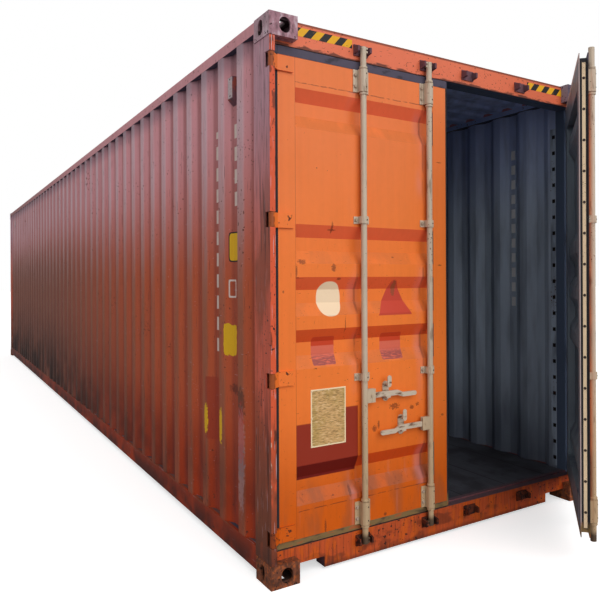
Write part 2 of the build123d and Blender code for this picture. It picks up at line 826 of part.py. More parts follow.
def ventilators():
    """Louvred boxes high in a valley of each side wall, near both ends."""
    valley = REAR_POST_END + SIDE_FIRST_FLAT + 2 * SIDE_RIB_SLOPE + SIDE_RIB_OUTER
    pitch = SIDE_RIB_OUTER + 2 * SIDE_RIB_SLOPE + SIDE_RIB_INNER
    valleys = int((LENGTH - REAR_POST_END - FRONT_POST_END - valley) / pitch)
    near = valley + SIDE_RIB_INNER / 2
    far = near + (valleys - 1) * pitch
    back = SIDE_WALL_SET + SIDE_RIB_DEPTH
    with BuildPart() as boxes:
        for side in (LEFT, RIGHT):
            plan = corner_plane(DOOR_END, side)
            for place in (near, far):
                profile = Plane(
                    origin=plan.from_local_coords((0, side * (place - VENT_WIDTH / 2), 0)),
                    x_dir=plan.x_dir,
                    z_dir=plan.x_dir.cross(Vector(0, 0, 1)),
                )
                with BuildSketch(profile):
                    with BuildLine():
                        Polyline(
                            (back, VENT_TOP),
                            (VENT_SET, VENT_TOP),
                            (VENT_SET, VENT_TOP - VENT_HEIGHT + VENT_SLANT),
                            (back, VENT_TOP - VENT_HEIGHT),
                            close=True,
                        )
                    make_face()
                extrude(amount=-side * VENT_WIDTH)
    boxes.part.label = "ventilators"
    return boxes


def door_frame(side, opened, name):
    """The rectangular tube frame of a leaf."""
    opening_top = LEAF_TOP - LEAF_RAIL
    with BuildPart() as frame:
        with BuildSketch(leaf_plane(side, opened, DOOR_FACE_DEPTH)):
            rectangle(LEAF_EDGE, LEAF_INNER_EDGE, LEAF_BOTTOM, LEAF_TOP)
            rectangle(
                LEAF_EDGE + LEAF_STILE,
                LEAF_INNER_EDGE - LEAF_STILE,
                LEAF_BOTTOM + LEAF_RAIL,
                opening_top,
                mode=Mode.SUBTRACT,
            )
        extrude(amount=-side * LEAF_THICKNESS)
        with BuildSketch(leaf_plane(side, opened, DOOR_FACE_DEPTH + LEAF_TUBE_WALL)):
            rectangle(
                LEAF_EDGE + LEAF_TUBE_WALL,
                LEAF_INNER_EDGE - LEAF_TUBE_WALL,
                LEAF_BOTTOM + LEAF_TUBE_WALL,
                LEAF_TOP - LEAF_TUBE_WALL,
            )
            rectangle(
                LEAF_EDGE + LEAF_STILE - LEAF_TUBE_WALL,
                LEAF_INNER_EDGE - LEAF_STILE + LEAF_TUBE_WALL,
                LEAF_BOTTOM + LEAF_RAIL - LEAF_TUBE_WALL,
                opening_top + LEAF_TUBE_WALL,
                mode=Mode.SUBTRACT,
            )
        extrude(
            amount=-side * (LEAF_THICKNESS - 2 * LEAF_TUBE_WALL), mode=Mode.SUBTRACT
        )
    frame.part.label = name
    return frame


def door_panel(side, opened, name):
    """The pressed sheet of a leaf: five valleys, three close together at mid height."""
    bottom = LEAF_BOTTOM + LEAF_RAIL
    top = LEAF_TOP - LEAF_RAIL
    valley = 2 * LEAF_RIB_SLOPE + LEAF_RIB_INNER
    wide_flat = (top - bottom - 5 * valley) / 2 - LEAF_NARROW_FLAT - LEAF_END_FLAT
    height = bottom + LEAF_END_FLAT
    points = [(bottom, 0)]
    for flat in (wide_flat, LEAF_NARROW_FLAT, LEAF_NARROW_FLAT, wide_flat, LEAF_END_FLAT):
        points.append((height, 0))
        points.append((height + LEAF_RIB_SLOPE, LEAF_RIB_DEPTH))
        points.append((height + LEAF_RIB_SLOPE + LEAF_RIB_INNER, LEAF_RIB_DEPTH))
        points.append((height + valley, 0))
        height += valley + flat
    points.append((top, 0))
    level = door_plane(side, opened)
    start = level.from_local_coords(
        (LEAF_EDGE + LEAF_STILE - PIN_INSET, side * (DOOR_FACE_DEPTH - PIN_DEPTH), 0)
    )
    profile = Plane(origin=start, x_dir=level.y_dir, z_dir=level.x_dir)
    with BuildPart() as panel:
        with BuildSketch(profile):
            with BuildLine():
                Polyline(
                    *[(side * depth, along) for along, depth in sheet_outline(points, SHEET)],
                    close=True,
                )
            make_face()
        extrude(amount=LEAF_INNER_EDGE - LEAF_EDGE - 2 * LEAF_STILE)
    panel.part.label = name
    return panel


def door_gasket(side, opened, name):
    """A channel round the edge of a leaf with two lips that meet the frame."""
    fin_depths = (DOOR_FACE_DEPTH, DOOR_FACE_DEPTH + LEAF_THICKNESS - GASKET_FIN)
    with BuildPart() as gasket:
        with BuildSketch(leaf_plane(side, opened, DOOR_FACE_DEPTH)):
            rectangle(
                LEAF_EDGE - GASKET_BASE,
                LEAF_INNER_EDGE + GASKET_BASE,
                LEAF_BOTTOM - GASKET_BASE,
                LEAF_TOP + GASKET_BASE,
            )
            rectangle(LEAF_EDGE, LEAF_INNER_EDGE, LEAF_BOTTOM, LEAF_TOP, mode=Mode.SUBTRACT)
        extrude(amount=-side * LEAF_THICKNESS)
        for depth in fin_depths:
            with BuildSketch(leaf_plane(side, opened, depth)):
                rectangle(
                    LEAF_EDGE - GASKET_LIP,
                    LEAF_INNER_EDGE + GASKET_CENTRE_LIP,
                    LEAF_BOTTOM - GASKET_LIP,
                    LEAF_TOP + GASKET_LIP,
                )
                rectangle(
                    LEAF_EDGE, LEAF_INNER_EDGE, LEAF_BOTTOM, LEAF_TOP, mode=Mode.SUBTRACT
                )
            extrude(amount=-side * GASKET_FIN)
    gasket.part.label = name
    return gasket


def hinge_blades(side, opened, name):
    """Four blades, each a knuckle on the pin and a cranked strap on the leaf."""
    back = DOOR_FACE_DEPTH - PIN_DEPTH
    front = back - BLADE_THICKNESS
    with BuildPart() as blades:
        for height in HINGE_HEIGHTS:
            with BuildSketch(door_plane(side, opened).offset(height - BLADE_HEIGHT / 2)):
                Circle(KNUCKLE_RADIUS)
                with BuildLine():
                    Polyline(
                        (KNUCKLE_RADIUS, 0),
                        (3 * KNUCKLE_RADIUS, side * front),
                        (BLADE_REACH, side * front),
                        (BLADE_REACH, side * back),
                        (2 * KNUCKLE_RADIUS, side * back),
                        (0, side * KNUCKLE_RADIUS),
                        close=True,
                    )
                make_face()
                turning_bore(PIN_RADIUS)
            extrude(amount=BLADE_HEIGHT)
    blades.part.label = name
    return blades


def rod_guides(side, opened, name):
    """Hat-shaped saddles that hold the lock rods to the leaf: a tall one near each
    end of a rod and two short clips between."""
    tall = [(height, END_GUIDE_HEIGHT) for height in GUIDE_CENTRES]
    short = [(height, CLIP_HEIGHT) for height in CLIP_CENTRES]
    inner = ROD_RADIUS + GUIDE_FIT
    outer = inner + GUIDE_THICKNESS
    rod_back = DOOR_FACE_DEPTH - ROD_DEPTH
    with BuildPart() as guides:
        for inset in (OUTER_ROD_INSET, INNER_ROD_INSET):
            for height, size in tall + short:
                level = door_plane(side, opened).offset(height - size / 2)
                with BuildSketch(level):
                    with Locations((inset - PIN_INSET, side * (ROD_DEPTH - PIN_DEPTH))):
                        few_sided(outer / FLAT_SHARE)
                        rectangle(-outer, outer, 0, side * rod_back)
                        rectangle(
                            -GUIDE_WIDTH / 2,
                            GUIDE_WIDTH / 2,
                            side * (rod_back - GUIDE_THICKNESS),
                            side * rod_back,
                        )
                        RegularPolygon(inner / FLAT_SHARE, SMALL_SIDES, mode=Mode.SUBTRACT)
                        rectangle(-inner, inner, 0, side * rod_back, mode=Mode.SUBTRACT)
                extrude(amount=size)
    guides.part.label = name
    return guides


def handle_retainers(side, opened, name):
    """A plate behind each handle with the shelf it rests on and the catch's pin."""
    handle_front = ROD_DEPTH - HANDLE_THICKNESS / 2
    plate_face = DOOR_FACE_DEPTH - RETAINER_THICKNESS
    catch_back = handle_front - CATCH_GAP
    with BuildPart() as retainers:
        for place, height in retainer_places():
            half_plate = RETAINER_WIDTH / 2
            ends = (height - RETAINER_BELOW + half_plate, height + RETAINER_ABOVE - half_plate)
            with BuildSketch(leaf_plane(side, opened, DOOR_FACE_DEPTH)):
                rectangle(place - half_plate, place + half_plate, *ends)
                with Locations(*[(place, end) for end in ends]):
                    few_sided(half_plate)
            extrude(amount=side * RETAINER_THICKNESS)
            shelf_top = height - HANDLE_HEIGHT / 2 - SHELF_GAP
            with BuildSketch(leaf_plane(side, opened, plate_face)):
                rectangle(
                    place - SHELF_WIDTH / 2,
                    place + SHELF_WIDTH / 2,
                    shelf_top - SHELF_THICKNESS,
                    shelf_top,
                )
            extrude(amount=side * (plate_face - handle_front))
            with BuildSketch(leaf_plane(side, opened, plate_face)):
                with Locations((place, height + CATCH_PIVOT_RISE)):
                    few_sided(CATCH_BOSS_RADIUS)
            extrude(amount=side * (plate_face - catch_back - CATCH_PIN_FIT))
            with BuildSketch(leaf_plane(side, opened, plate_face)):
                with Locations((place, height + CATCH_PIVOT_RISE)):
                    few_sided(CATCH_PIN_RADIUS)
            extrude(amount=side * (plate_face - catch_back + CATCH_THICKNESS))
    retainers.part.label = name
    return retainers


def retainer_places():
    """Where the retainers stand: distance from the side face, and handle height."""
    return (
        (OUTER_ROD_INSET + OUTER_RETAINER_REACH, OUTER_HANDLE_HEIGHT),
        (INNER_ROD_INSET - INNER_RETAINER_REACH, INNER_HANDLE_HEIGHT),
    )


def catch(side, opened, place, height, name):
    """An oval plate on the retainer's pin. It stands up here, and swings down in
    front of the handle to lock it."""
    catch_back = ROD_DEPTH - HANDLE_THICKNESS / 2 - CATCH_GAP
    pivot = height + CATCH_PIVOT_RISE
    centre_rise = (CATCH_LENGTH - CATCH_WIDTH) / 2
    with BuildPart() as plate:
        with BuildSketch(leaf_plane(side, opened, catch_back)):
            with Locations((place, pivot + centre_rise)):
                SlotOverall(CATCH_LENGTH, CATCH_WIDTH, rotation=90)
            with Locations((place, pivot)):
                turning_bore(CATCH_PIN_RADIUS)
        extrude(amount=side * CATCH_THICKNESS)
    plate.part.label = name
    return plate


def lock_rod(side, opened, inset, handle_height, towards, name):
    """A rod with a forked cam at each end and the hub that the handle bolts to.
    The handle points towards the free edge (1) or the hinges (-1)."""
    level = door_plane(side, opened)
    centre = (inset - PIN_INSET, side * (ROD_DEPTH - PIN_DEPTH))
    ear_inner = HANDLE_THICKNESS / 2 + HANDLE_FIT
    ear_outer = ear_inner + HUB_PLATE
    with BuildPart() as rod:
        with BuildSketch(level.offset(ROD_BOTTOM)):
            with Locations(centre):
                Circle(ROD_RADIUS)
        extrude(amount=ROD_TOP - ROD_BOTTOM)
        for cam_bottom in (
            ROD_BOTTOM,
            ROD_BOTTOM + CAM_THICKNESS + CAM_GAP,
            ROD_TOP - CAM_THICKNESS,
            ROD_TOP - 2 * CAM_THICKNESS - CAM_GAP,
        ):
            with BuildSketch(level.offset(cam_bottom)):
                with Locations(centre):
                    rectangle(0, towards * CAM_REACH, -CAM_WIDTH / 2, CAM_WIDTH / 2)
            extrude(amount=CAM_THICKNESS)
        with BuildSketch(level.offset(handle_height - HUB_HEIGHT / 2)):
            with Locations(centre):
                for face in (-1, 1):
                    rectangle(
                        0,
                        towards * HUB_REACH,
                        face * ear_inner,
                        face * ear_outer,
                    )
        extrude(amount=HUB_HEIGHT)
        with BuildSketch(leaf_plane(side, opened, ROD_DEPTH + ear_inner)):
            with Locations((inset + towards * HUB_BOLT_REACH, handle_height)):
                few_sided(HUB_BOLT_RADIUS)
        extrude(amount=side * 2 * ear_inner)
        with BuildSketch(leaf_plane(side, opened, ROD_DEPTH - ear_outer)):
            with Locations((inset + towards * HUB_BOLT_REACH, handle_height)):
                RegularPolygon(HUB_BOLT_HEAD_RADIUS, HUB_BOLT_HEAD_SIDES)
        extrude(amount=side * HUB_BOLT_HEAD)
    rod.part.label = name
    return rod


def handle(side, opened, inset, height, towards, name):
    """A flat bar that lifts on the hub's bolt, cranked down to a narrower grip."""
    half = HANDLE_HEIGHT / 2
    half_grip = GRIP_HEIGHT / 2
    bolt = inset + towards * HUB_BOLT_REACH
    start = inset + towards * HANDLE_JOGGLE_START
    finish = inset + towards * HANDLE_JOGGLE_END
    tip = inset + towards * (HANDLE_REACH - half_grip)
    low = height - HANDLE_DROP
    with BuildPart() as bar:
        with BuildSketch(leaf_plane(side, opened, ROD_DEPTH + HANDLE_THICKNESS / 2)):
            with BuildLine():
                Polyline(
                    (bolt, height + half),
                    (start, height + half),
                    (finish, low + half_grip),
                    (tip, low + half_grip),
                    (tip, low - half_grip),
                    (finish, low - half_grip),
                    (start, height - half),
                    (bolt, height - half),
                    close=True,
                )
            make_face()
            with Locations((bolt, height)):
                Circle(half)
            with Locations((tip, low)):
                few_sided(half_grip)
            with Locations((bolt, height)):
                turning_bore(HUB_BOLT_RADIUS)
        extrude(amount=side * HANDLE_THICKNESS)
    bar.part.label = name
    return bar


def door(side, opened, word):
    """Every piece of one door: its leaf, hinges, lock rods, handles and catches."""
    outer = (OUTER_ROD_INSET, OUTER_HANDLE_HEIGHT, 1)
    inner = (INNER_ROD_INSET, INNER_HANDLE_HEIGHT, -1)
    outer_place, inner_place = retainer_places()
    return [
        door_frame(side, opened, f"{word}_door_frame"),
        door_panel(side, opened, f"{word}_door_panel"),
        door_gasket(side, opened, f"{word}_door_gasket"),
        hinge_blades(side, opened, f"{word}_hinge_blades"),
        rod_guides(side, opened, f"{word}_rod_guides"),
        handle_retainers(side, opened, f"{word}_handle_retainers"),
        lock_rod(side, opened, *outer, f"{word}_outer_lock_rod"),
        lock_rod(side, opened, *inner, f"{word}_inner_lock_rod"),
        handle(side, opened, *outer, f"{word}_outer_handle"),
        handle(side, opened, *inner, f"{word}_inner_handle"),
        catch(side, opened, *outer_place, f"{word}_outer_catch"),
        catch(side, opened, *inner_place, f"{word}_inner_catch"),
    ]


pieces = [
    corner_castings(False),
    corner_castings(True),
    door_corner_posts(),
    hinge_pins(),
    front_corner_posts(),
    top_side_rails(),
    bottom_side_rails(),
    cross_members(),
    floor_panels(),
    side_wall(LEFT, "left_side_wall"),
    side_wall(RIGHT, "right_side_wall"),
    front_wall(),
    roof(),
    door_header(),
    door_sill(),
    front_header(),
    front_sill(),
    cam_keepers(),
    ventilators(),
    *door(LEFT, 0, "left"),
    *door(RIGHT, RIGHT_DOOR_OPEN, "right"),
]

os.makedirs("parts", exist_ok=True)
for piece in pieces:
    export_step(piece.part, f"parts/{piece.part.label}.step")
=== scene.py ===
"""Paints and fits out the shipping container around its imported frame."""
import json
from math import atan2, cos, pi, radians, sin

import bmesh
import bpy
from bpy.props import FloatProperty, FloatVectorProperty, PointerProperty
from bpy.types import Operator, Panel, PropertyGroup
from mathutils import Matrix, Vector


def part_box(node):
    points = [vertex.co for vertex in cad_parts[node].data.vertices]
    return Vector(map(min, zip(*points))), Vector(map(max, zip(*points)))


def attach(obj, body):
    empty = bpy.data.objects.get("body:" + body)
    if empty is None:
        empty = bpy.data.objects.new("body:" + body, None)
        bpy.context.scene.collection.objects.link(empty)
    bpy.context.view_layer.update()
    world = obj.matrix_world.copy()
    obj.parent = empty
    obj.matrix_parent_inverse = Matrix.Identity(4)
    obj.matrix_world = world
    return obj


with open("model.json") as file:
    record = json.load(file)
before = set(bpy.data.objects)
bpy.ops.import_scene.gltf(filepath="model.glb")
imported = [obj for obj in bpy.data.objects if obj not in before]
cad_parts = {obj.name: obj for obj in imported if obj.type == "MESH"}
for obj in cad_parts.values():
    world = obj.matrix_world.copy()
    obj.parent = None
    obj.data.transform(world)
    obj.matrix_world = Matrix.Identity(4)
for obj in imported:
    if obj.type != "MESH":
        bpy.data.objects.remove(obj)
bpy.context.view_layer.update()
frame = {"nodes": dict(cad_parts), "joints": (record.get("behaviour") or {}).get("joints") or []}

bl_info = {
    "name": "Shipping container finishes",
    "version": (1, 0, 0),
    "blender": (4, 5, 0),
    "location": "3D View > Sidebar > Container",
    "description": "Paints a forty foot shipping container and adds its small fittings",
    "category": "Object",
}

# Faces of the container, read from the frame, in metres. The doors are at +X.
END, HALF_WIDTH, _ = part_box("bottom_corner_castings")[1]
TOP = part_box("top_corner_castings")[1].z
HEADER_LOW, HEADER_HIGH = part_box("door_header")
LEAF_LOW, LEAF_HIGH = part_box("left_door_frame")
PANEL_LOW, PANEL_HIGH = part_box("left_door_panel")
WALL_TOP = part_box("left_side_wall")[1].z
POST_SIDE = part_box("door_corner_posts")[1].y
RAIL_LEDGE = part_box("bottom_side_rails")[1].z
ROOF_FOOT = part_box("roof")[0].z
DOOR_FACE = LEAF_HIGH.x
GASKET_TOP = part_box("left_door_gasket")[1].z

# Sizes of the model that the pieces here seat on, in metres
PIN_INSET = 0.022
PIN_DEPTH = 0.022
FACE_DEPTH = 0.060
LEAF_THICKNESS = 0.050
GUIDE_WIDTH = 0.100
GUIDE_THICKNESS = 0.005
END_GUIDE_HEIGHT = 0.124
GUIDE_HEIGHTS = (0.262, 2.645)
CLIP_HEIGHTS = (1.012, 1.877)
ROD_RADIUS = 0.017
SADDLE_RADIUS = 0.0235
SADDLE_FACET = radians(15)
CASTING_SIZE = (0.178, 0.162, 0.118)
SIDE_WALL_SET = 0.005
SIDE_RIB_DEPTH = 0.036
SIDE_RIB_PITCH = 0.278
FIRST_INNER_FLAT = 0.521
INNER_FLAT_SET = 0.043
STILE_WIDTH = 0.100
VENT_WIDTH = 0.066
GASKET_WEB_SET = 0.004

# Edges of a leaf, as distances from the side face
LEAF_START = HALF_WIDTH - abs(LEAF_LOW.y)
LEAF_END = HALF_WIDTH + LEAF_HIGH.y

# Places of the pieces made here, in metres
TAPE_BOTTOM = 2.822
TAPE_ENDS = {"left": (-1.024, -0.688), "right": (0.711, 1.078)}
TAPE_STRIPES = 7
PLATE_LOW, PLATE_HIGH = (0.262, 0.662), (0.479, 0.968)
PLATE_COLUMNS = (0.269, 0.370, 0.472)
PLATE_ROWS = (0.670, 0.815, 0.960)
STRIP_HALF_WIDTH = 0.009
RIVET_HEIGHT = 0.002
FLAT_HEAD = 0.0015
LASHING_SIDES = (END - 0.253, END - 0.197)
LASHING_ENDS = (0.180, 2.640)
LASHING_STILE = 0.014
LASHING_HALF_RUNG = 0.045

# The stage's lights and floor
KEY_TOWARDS, KEY_WIDTH = (0.88, 0.05, 0.47), 1.25
FILL_TOWARDS, FILL_WIDTH = (-0.25, -0.86, 0.44), 1.1
GROUND_SHADE = (0.26, 0.26, 0.28, 1)
FLOOR_WHITE = (0.9, 0.9, 0.9, 1)
FLOOR_GLOW = 0.55
WHITE = (1, 1, 1, 1)

WORDS = ("left", "right")
PLACES = ("outer", "inner")
SIGNS = {"left": -1, "right": 1}


def colour(name, description, *values):
    """A colour property whose default is given by its 0 to 255 values."""
    shares = [value / 255 for value in values]
    default = [
        share / 12.92 if share <= 0.04045 else ((share + 0.055) / 1.055) ** 2.4 for share in shares
    ]
    return FloatVectorProperty(
        name=name, description=description, default=default, size=3, min=0, max=1, subtype="COLOR"
    )


def number(name, description, default, **kind):
    """A number property."""
    return FloatProperty(name=name, description=description, default=default, **kind)


def length(name, description, default):
    """A length property in metres."""
    return number(name, description, default, unit="LENGTH")


# Scuffs on the left leaf: distance along the leaf, height and half sizes
PANEL_SCUFFS = (
    (0.400, 1.830, 0.006, 0.030), (0.400, 1.818, 0.024, 0.004), (0.215, 1.644, 0.022, 0.012),
    (0.408, 1.613, 0.014, 0.018), (0.181, 1.594, 0.005, 0.030), (0.442, 1.554, 0.012, 0.006),
    (0.817, 1.676, 0.007, 0.004), (0.480, 1.302, 0.003, 0.040), (0.810, 0.820, 0.030, 0.016),
    (0.937, 0.801, 0.014, 0.012), (0.978, 0.815, 0.012, 0.009), (0.670, 0.710, 0.014, 0.016),
    (0.699, 0.730, 0.007, 0.020), (0.508, 0.391, 0.008, 0.030), (0.401, 0.386, 0.007, 0.004),
)
FRAME_SCUFFS = (
    (1.152, 2.252, 0.018, 0.003), (1.155, 1.632, 0.014, 0.004), (1.172, 0.728, 0.010, 0.007),
    (0.742, 0.215, 0.010, 0.010), (0.349, 0.230, 0.006, 0.035), (0.104, 1.488, 0.005, 0.006),
)


class ContainerPaint(PropertyGroup):
    """Colours of the paint, rust and dirt, and of the painted shade and sheen."""

    door: colour("Doors", "Orange of the door leaves", 247, 126, 50)
    door_faded: colour("Faded doors", "Pinker orange high on the doors", 242, 127, 66)
    door_low: colour("Low doors", "Yellower orange low on the doors", 214, 94, 8)
    # Painted shade: the next three colours go on the doors' slopes by which way they face
    door_shade: colour("Shaded slopes", "Redder orange of slopes that look down", 250, 106, 70)
    door_shade_low: colour("Low shaded slopes", "The same low down", 216, 66, 8)
    door_up_shade: colour("Shaded up slopes", "Duller orange of slopes that look up", 206, 112, 56)
    wall: colour("Walls", "Brick red of the side walls", 184, 84, 48)
    wall_faded: colour("Faded walls", "Mauve of the wall below the top rail", 214, 148, 154)
    wall_low: colour("Low walls", "Browner red low on the walls", 166, 56, 18)
    wall_far: colour("Far walls", "Dull brown towards the closed end", 120, 76, 66)
    # Rubbed wear, and also the painted sheen on the outer flats and a painted highlight on castings
    rubbed: colour("Rubbed ribs", "Chalky lilac of the outer flats high up", 208, 184, 192)
    repaint_rub: colour("Rub", "Bright red of rubbed paint", 196, 60, 44)
    stain: colour("Stains", "Mauve brown stains low on the doors", 150, 82, 50)
    # Dusty wear, and also the painted sheen low on the outer flats and a painted highlight on rails
    rubbed_low: colour("Low ribs", "Dusty brown of the outer flats low down", 140, 90, 66)
    # Painted shade: it darkens the walls' valleys
    valley_shade: colour("Valleys", "Darker paint in the valleys of the walls", 128, 54, 44)
    post: colour("Posts", "Brown of the door posts", 204, 96, 72)
    post_faded: colour("Faded posts", "Mauve brown high on the posts", 190, 142, 154)
    post_low: colour("Low posts", "Dark brown low on the posts", 122, 66, 44)
    casting: colour("Castings", "Brown of the corner castings", 122, 70, 48)
    casting_rust: colour("Casting rust", "Orange brown rust of the castings", 176, 92, 44)
    casting_high: colour("High castings", "Slate mauve of rusty steel high up", 116, 84, 96)
    header: colour("Header", "Orange of the header", 236, 120, 84)
    sill: colour("Sill", "Orange red of the sill", 190, 80, 36)
    inside: colour("Inside", "Blue grey of the inside", 194, 208, 226)
    # Painted shade: the inside's tint below the roof
    inside_dark: colour("Inside shade", "Darker blue of the inside below the roof", 200, 216, 255)
    # Painted shade: a darker copy of the inside paint for the leaves' inner faces
    leaf_inner_shaded: colour("Leaf inside", "Slate grey of the inner side of the doors", 122, 134, 144)
    # Painted shade in corners, under the rails and behind the doors, and dark dirt indoors
    slate_shade_and_dirt: colour("Inner shade", "Slate of shaded corners", 70, 72, 92)
    jamb: colour("Jambs", "Navy of the faces that the doors shut against", 90, 104, 128)
    nose: colour("Nose", "Orange red of the posts' front edge", 224, 92, 54)
    roof: colour("Roof", "Chalky red brown of the roof", 150, 92, 78)
    zinc: colour("Lock gear", "Cream paint of rods and handles", 204, 186, 164)
    zinc_low: colour("Low lock gear", "Yellower cream low on the rods", 194, 166, 130)
    rust: colour("Rust", "Brown rust", 96, 44, 26)
    dark_rust: colour("Dark rust", "Nearly black old rust", 46, 28, 24)
    # Black dirt, and painted shade where it fills the castings' hollows and the lashing bars' slots
    black_dirt_and_shade: colour("Grime", "Black dirt in the corners", 34, 28, 26)
    dust: colour("Dust", "Grey brown dust on ledges", 126, 98, 74)
    ledge_dust: colour("Ledge dust", "Olive dust on the gaskets' foot", 136, 108, 66)
    rubber: colour("Rubber", "Slate lip of the gaskets", 84, 78, 94)
    rubber_dark: colour("Dark rubber", "Nearly black middle of the gaskets", 42, 40, 44)
    rubber_pale: colour("Pale rubber", "Dusty mauve inner lip of the gaskets", 190, 170, 166)
    floor: colour("Floor", "Dirty plywood", 88, 88, 96)
    ventilator: colour("Ventilators", "Mauve of the ventilators' boxes", 112, 74, 82)
    pin: colour("Pins", "Rusty brown of the hinge pins", 120, 84, 70)


class ContainerMarks(PropertyGroup):
    """Colours and sizes of the patches and marks on the paint."""

    oval: colour("Oval", "Cream oval on the left door", 250, 222, 186)
    worn_red: colour("Worn patch", "Worn red patch on the left door", 204, 72, 52)
    sticker: colour("Stickers", "Pink of the two old stickers", 218, 104, 88)
    sticker_top: colour("Sticker top", "Redder upper part of the stickers", 206, 66, 30)
    sticker_dark: colour("Sticker foot", "Mauve lower part of the stickers", 150, 78, 74)
    repaint: colour("Repaint", "Dark red patch of newer paint", 150, 48, 28)
    # Painted shade on the repaint's upper slope, which looks down
    repaint_shade: colour("Repaint edge", "Darker upper slope of the repaint", 112, 20, 12)
    chalk: colour("Chalk", "Pale paint of the wall marks", 214, 196, 186)
    yellow: colour("Yellow", "Worn yellow of the wall patches", 222, 172, 22)
    tape_yellow: colour("Tape yellow", "Yellow of the edge tape", 240, 176, 20)
    tape_black: colour("Tape black", "Black of the edge tape", 30, 28, 30)
    tape_dirt: colour("Tape dirt", "Brown dirt on the edge tape", 120, 84, 50)
    inner_chalk: colour("Inner chalk", "White bars on the inside", 255, 255, 255)
    plate: colour("Plate", "Aged tan of the data plate", 214, 170, 112)
    plate_stain: colour("Plate stain", "Olive stains on the data plate", 176, 146, 74)
    plate_dark: colour("Plate wear", "Brown wear on the data plate", 120, 92, 52)
    plate_edge: colour("Plate edge", "Pale border of the data plate", 248, 226, 184)
    tape_slant: length("Slant", "Sideways run of a stripe over the tape's height", 0.039)
    plate_border: length("Border", "Width of the plate's pale border", 0.007)
    tape_height: length("Tape height", "Height of the edge tape", 0.046)
    bar_pitch: length("Bar pitch", "Distance between the painted bars of a column", 0.128)


class ContainerFittings(PropertyGroup):
    """Colours and sizes of bolts, collars, strips, bars and covers."""

    bolt: colour("Bolts", "Dusty cream of the guides' bolts", 176, 158, 138)
    rivet: colour("Rivets", "Dark brown of the guides' rivets", 70, 52, 46)
    plate_rivet: colour("Plate rivets", "Pale rivets of the data plate", 236, 214, 176)
    strip: colour("Strips", "Cream of the strips on the leaves' edges", 232, 204, 168)
    edge_rivet: colour("Edge rivets", "Dark rivets of the strips", 60, 46, 42)
    cover: colour("Covers", "Dusty mauve of the ventilators' covers", 196, 176, 178)
    screw: colour("Screws", "Dark screws of the covers", 52, 40, 42)
    bolt_radius: length("Bolt", "Half the width of a bolt head", 0.009)
    bolt_height: length("Bolt height", "Height of a bolt head", 0.007)
    washer_radius: length("Washer", "Radius of a washer", 0.012)
    washer_height: length("Washer height", "Thickness of a washer", 0.002)
    collar_radius: length("Collar", "Outer radius of a rod collar", 0.0225)
    collar_height: length("Collar height", "Height of a rod collar", 0.012)
    collar_gap: length("Collar gap", "Room between a collar and its guide", 0.004)
    rivet_radius: length("Rivet", "Radius of a rivet", 0.006)
    edge_rivet_radius: length("Edge rivet", "Radius of a rivet on a leaf's edge", 0.008)
    rivet_pitch: length("Rivet pitch", "Distance between edge rivets", 0.159)
    strip_thickness: length("Strip", "Thickness of the strips on the door edges", 0.002)
    sheet_thickness: length("Sheet", "Thickness of tapes and plates", 0.0008)
    lashing_thickness: length("Lashing bar", "Thickness of a lashing bar", 0.004)
    slot_pitch: length("Slot pitch", "Distance between the slots of a lashing bar", 0.112)
    lip_overlap: length("Lip overlap", "How far the gasket's top lip laps the leaf", 0.014)


class ContainerStage(PropertyGroup):
    """The floor, the lights and the camera."""

    camera_place: FloatVectorProperty(
        name="Camera", description="Where the camera stands", default=(9.0294, -2.6283, 1.5621),
        size=3, subtype="TRANSLATION", unit="LENGTH",
    )
    camera_yaw: number("Yaw", "Direction of view, from +X towards +Y", 2.5468, subtype="ANGLE")
    camera_roll: number("Roll", "Turn about the line of sight", -0.0044, subtype="ANGLE")
    image_pixels: number("Image", "Side of the image in pixels", 600)
    focal_pixels: number("Focal", "Focal length in pixels", 647.7)
    axis_across: number("Axis across", "Pixel column of the line of sight", 365.8)
    axis_down: number("Axis down", "Pixel row of the line of sight", 277.2)
    floor_size: length("Floor", "Side of the pale floor", 160)
    ambient: number("Ambient", "Light of the whole sky", 0.38)
    key: number("Key", "Strength of the light on the doors", 2.08)
    fill: number("Fill", "Strength of the light on the wall", 0.62)


def joint(name):
    """A joint of the frame by its name."""
    return next(one for one in frame["joints"] if one["name"] == name)


def leaf_axes(word):
    """A door's corner on the ground, its direction along the leaf and its direction
    inwards, as the door stands at rest. The corner lies on the side and end faces."""
    swing = joint(f"{word}_door_swing")
    opened = radians(-swing["range_deg"][0])
    side = -swing["axis"][2]
    along = Vector((sin(opened), side * cos(opened), 0))
    inwards = Vector((-cos(opened), side * sin(opened), 0))
    pin = Vector(swing["pos_m"])
    corner = Vector((pin.x, pin.y, 0)) - PIN_INSET * along - PIN_DEPTH * inwards
    return corner, along, inwards


def leaf_matrix(word):
    """Turns leaf coordinates into the container's. On a leaf, X is the distance from
    the side face, Y the depth behind the end face and Z the height."""
    corner, along, inwards = leaf_axes(word)
    columns = Matrix((along, inwards, Vector((0, 0, 1)))).transposed()
    return Matrix.Translation(corner) @ columns.to_4x4()


def leaf_seat(word, across, depth, height, axis="X"):
    """A place on a leaf whose Z points out of its face, or along the leaf with "Y"."""
    foot = Matrix.Translation((across, depth, height))
    return leaf_matrix(word) @ foot @ Matrix.Rotation(pi / 2, 4, axis)


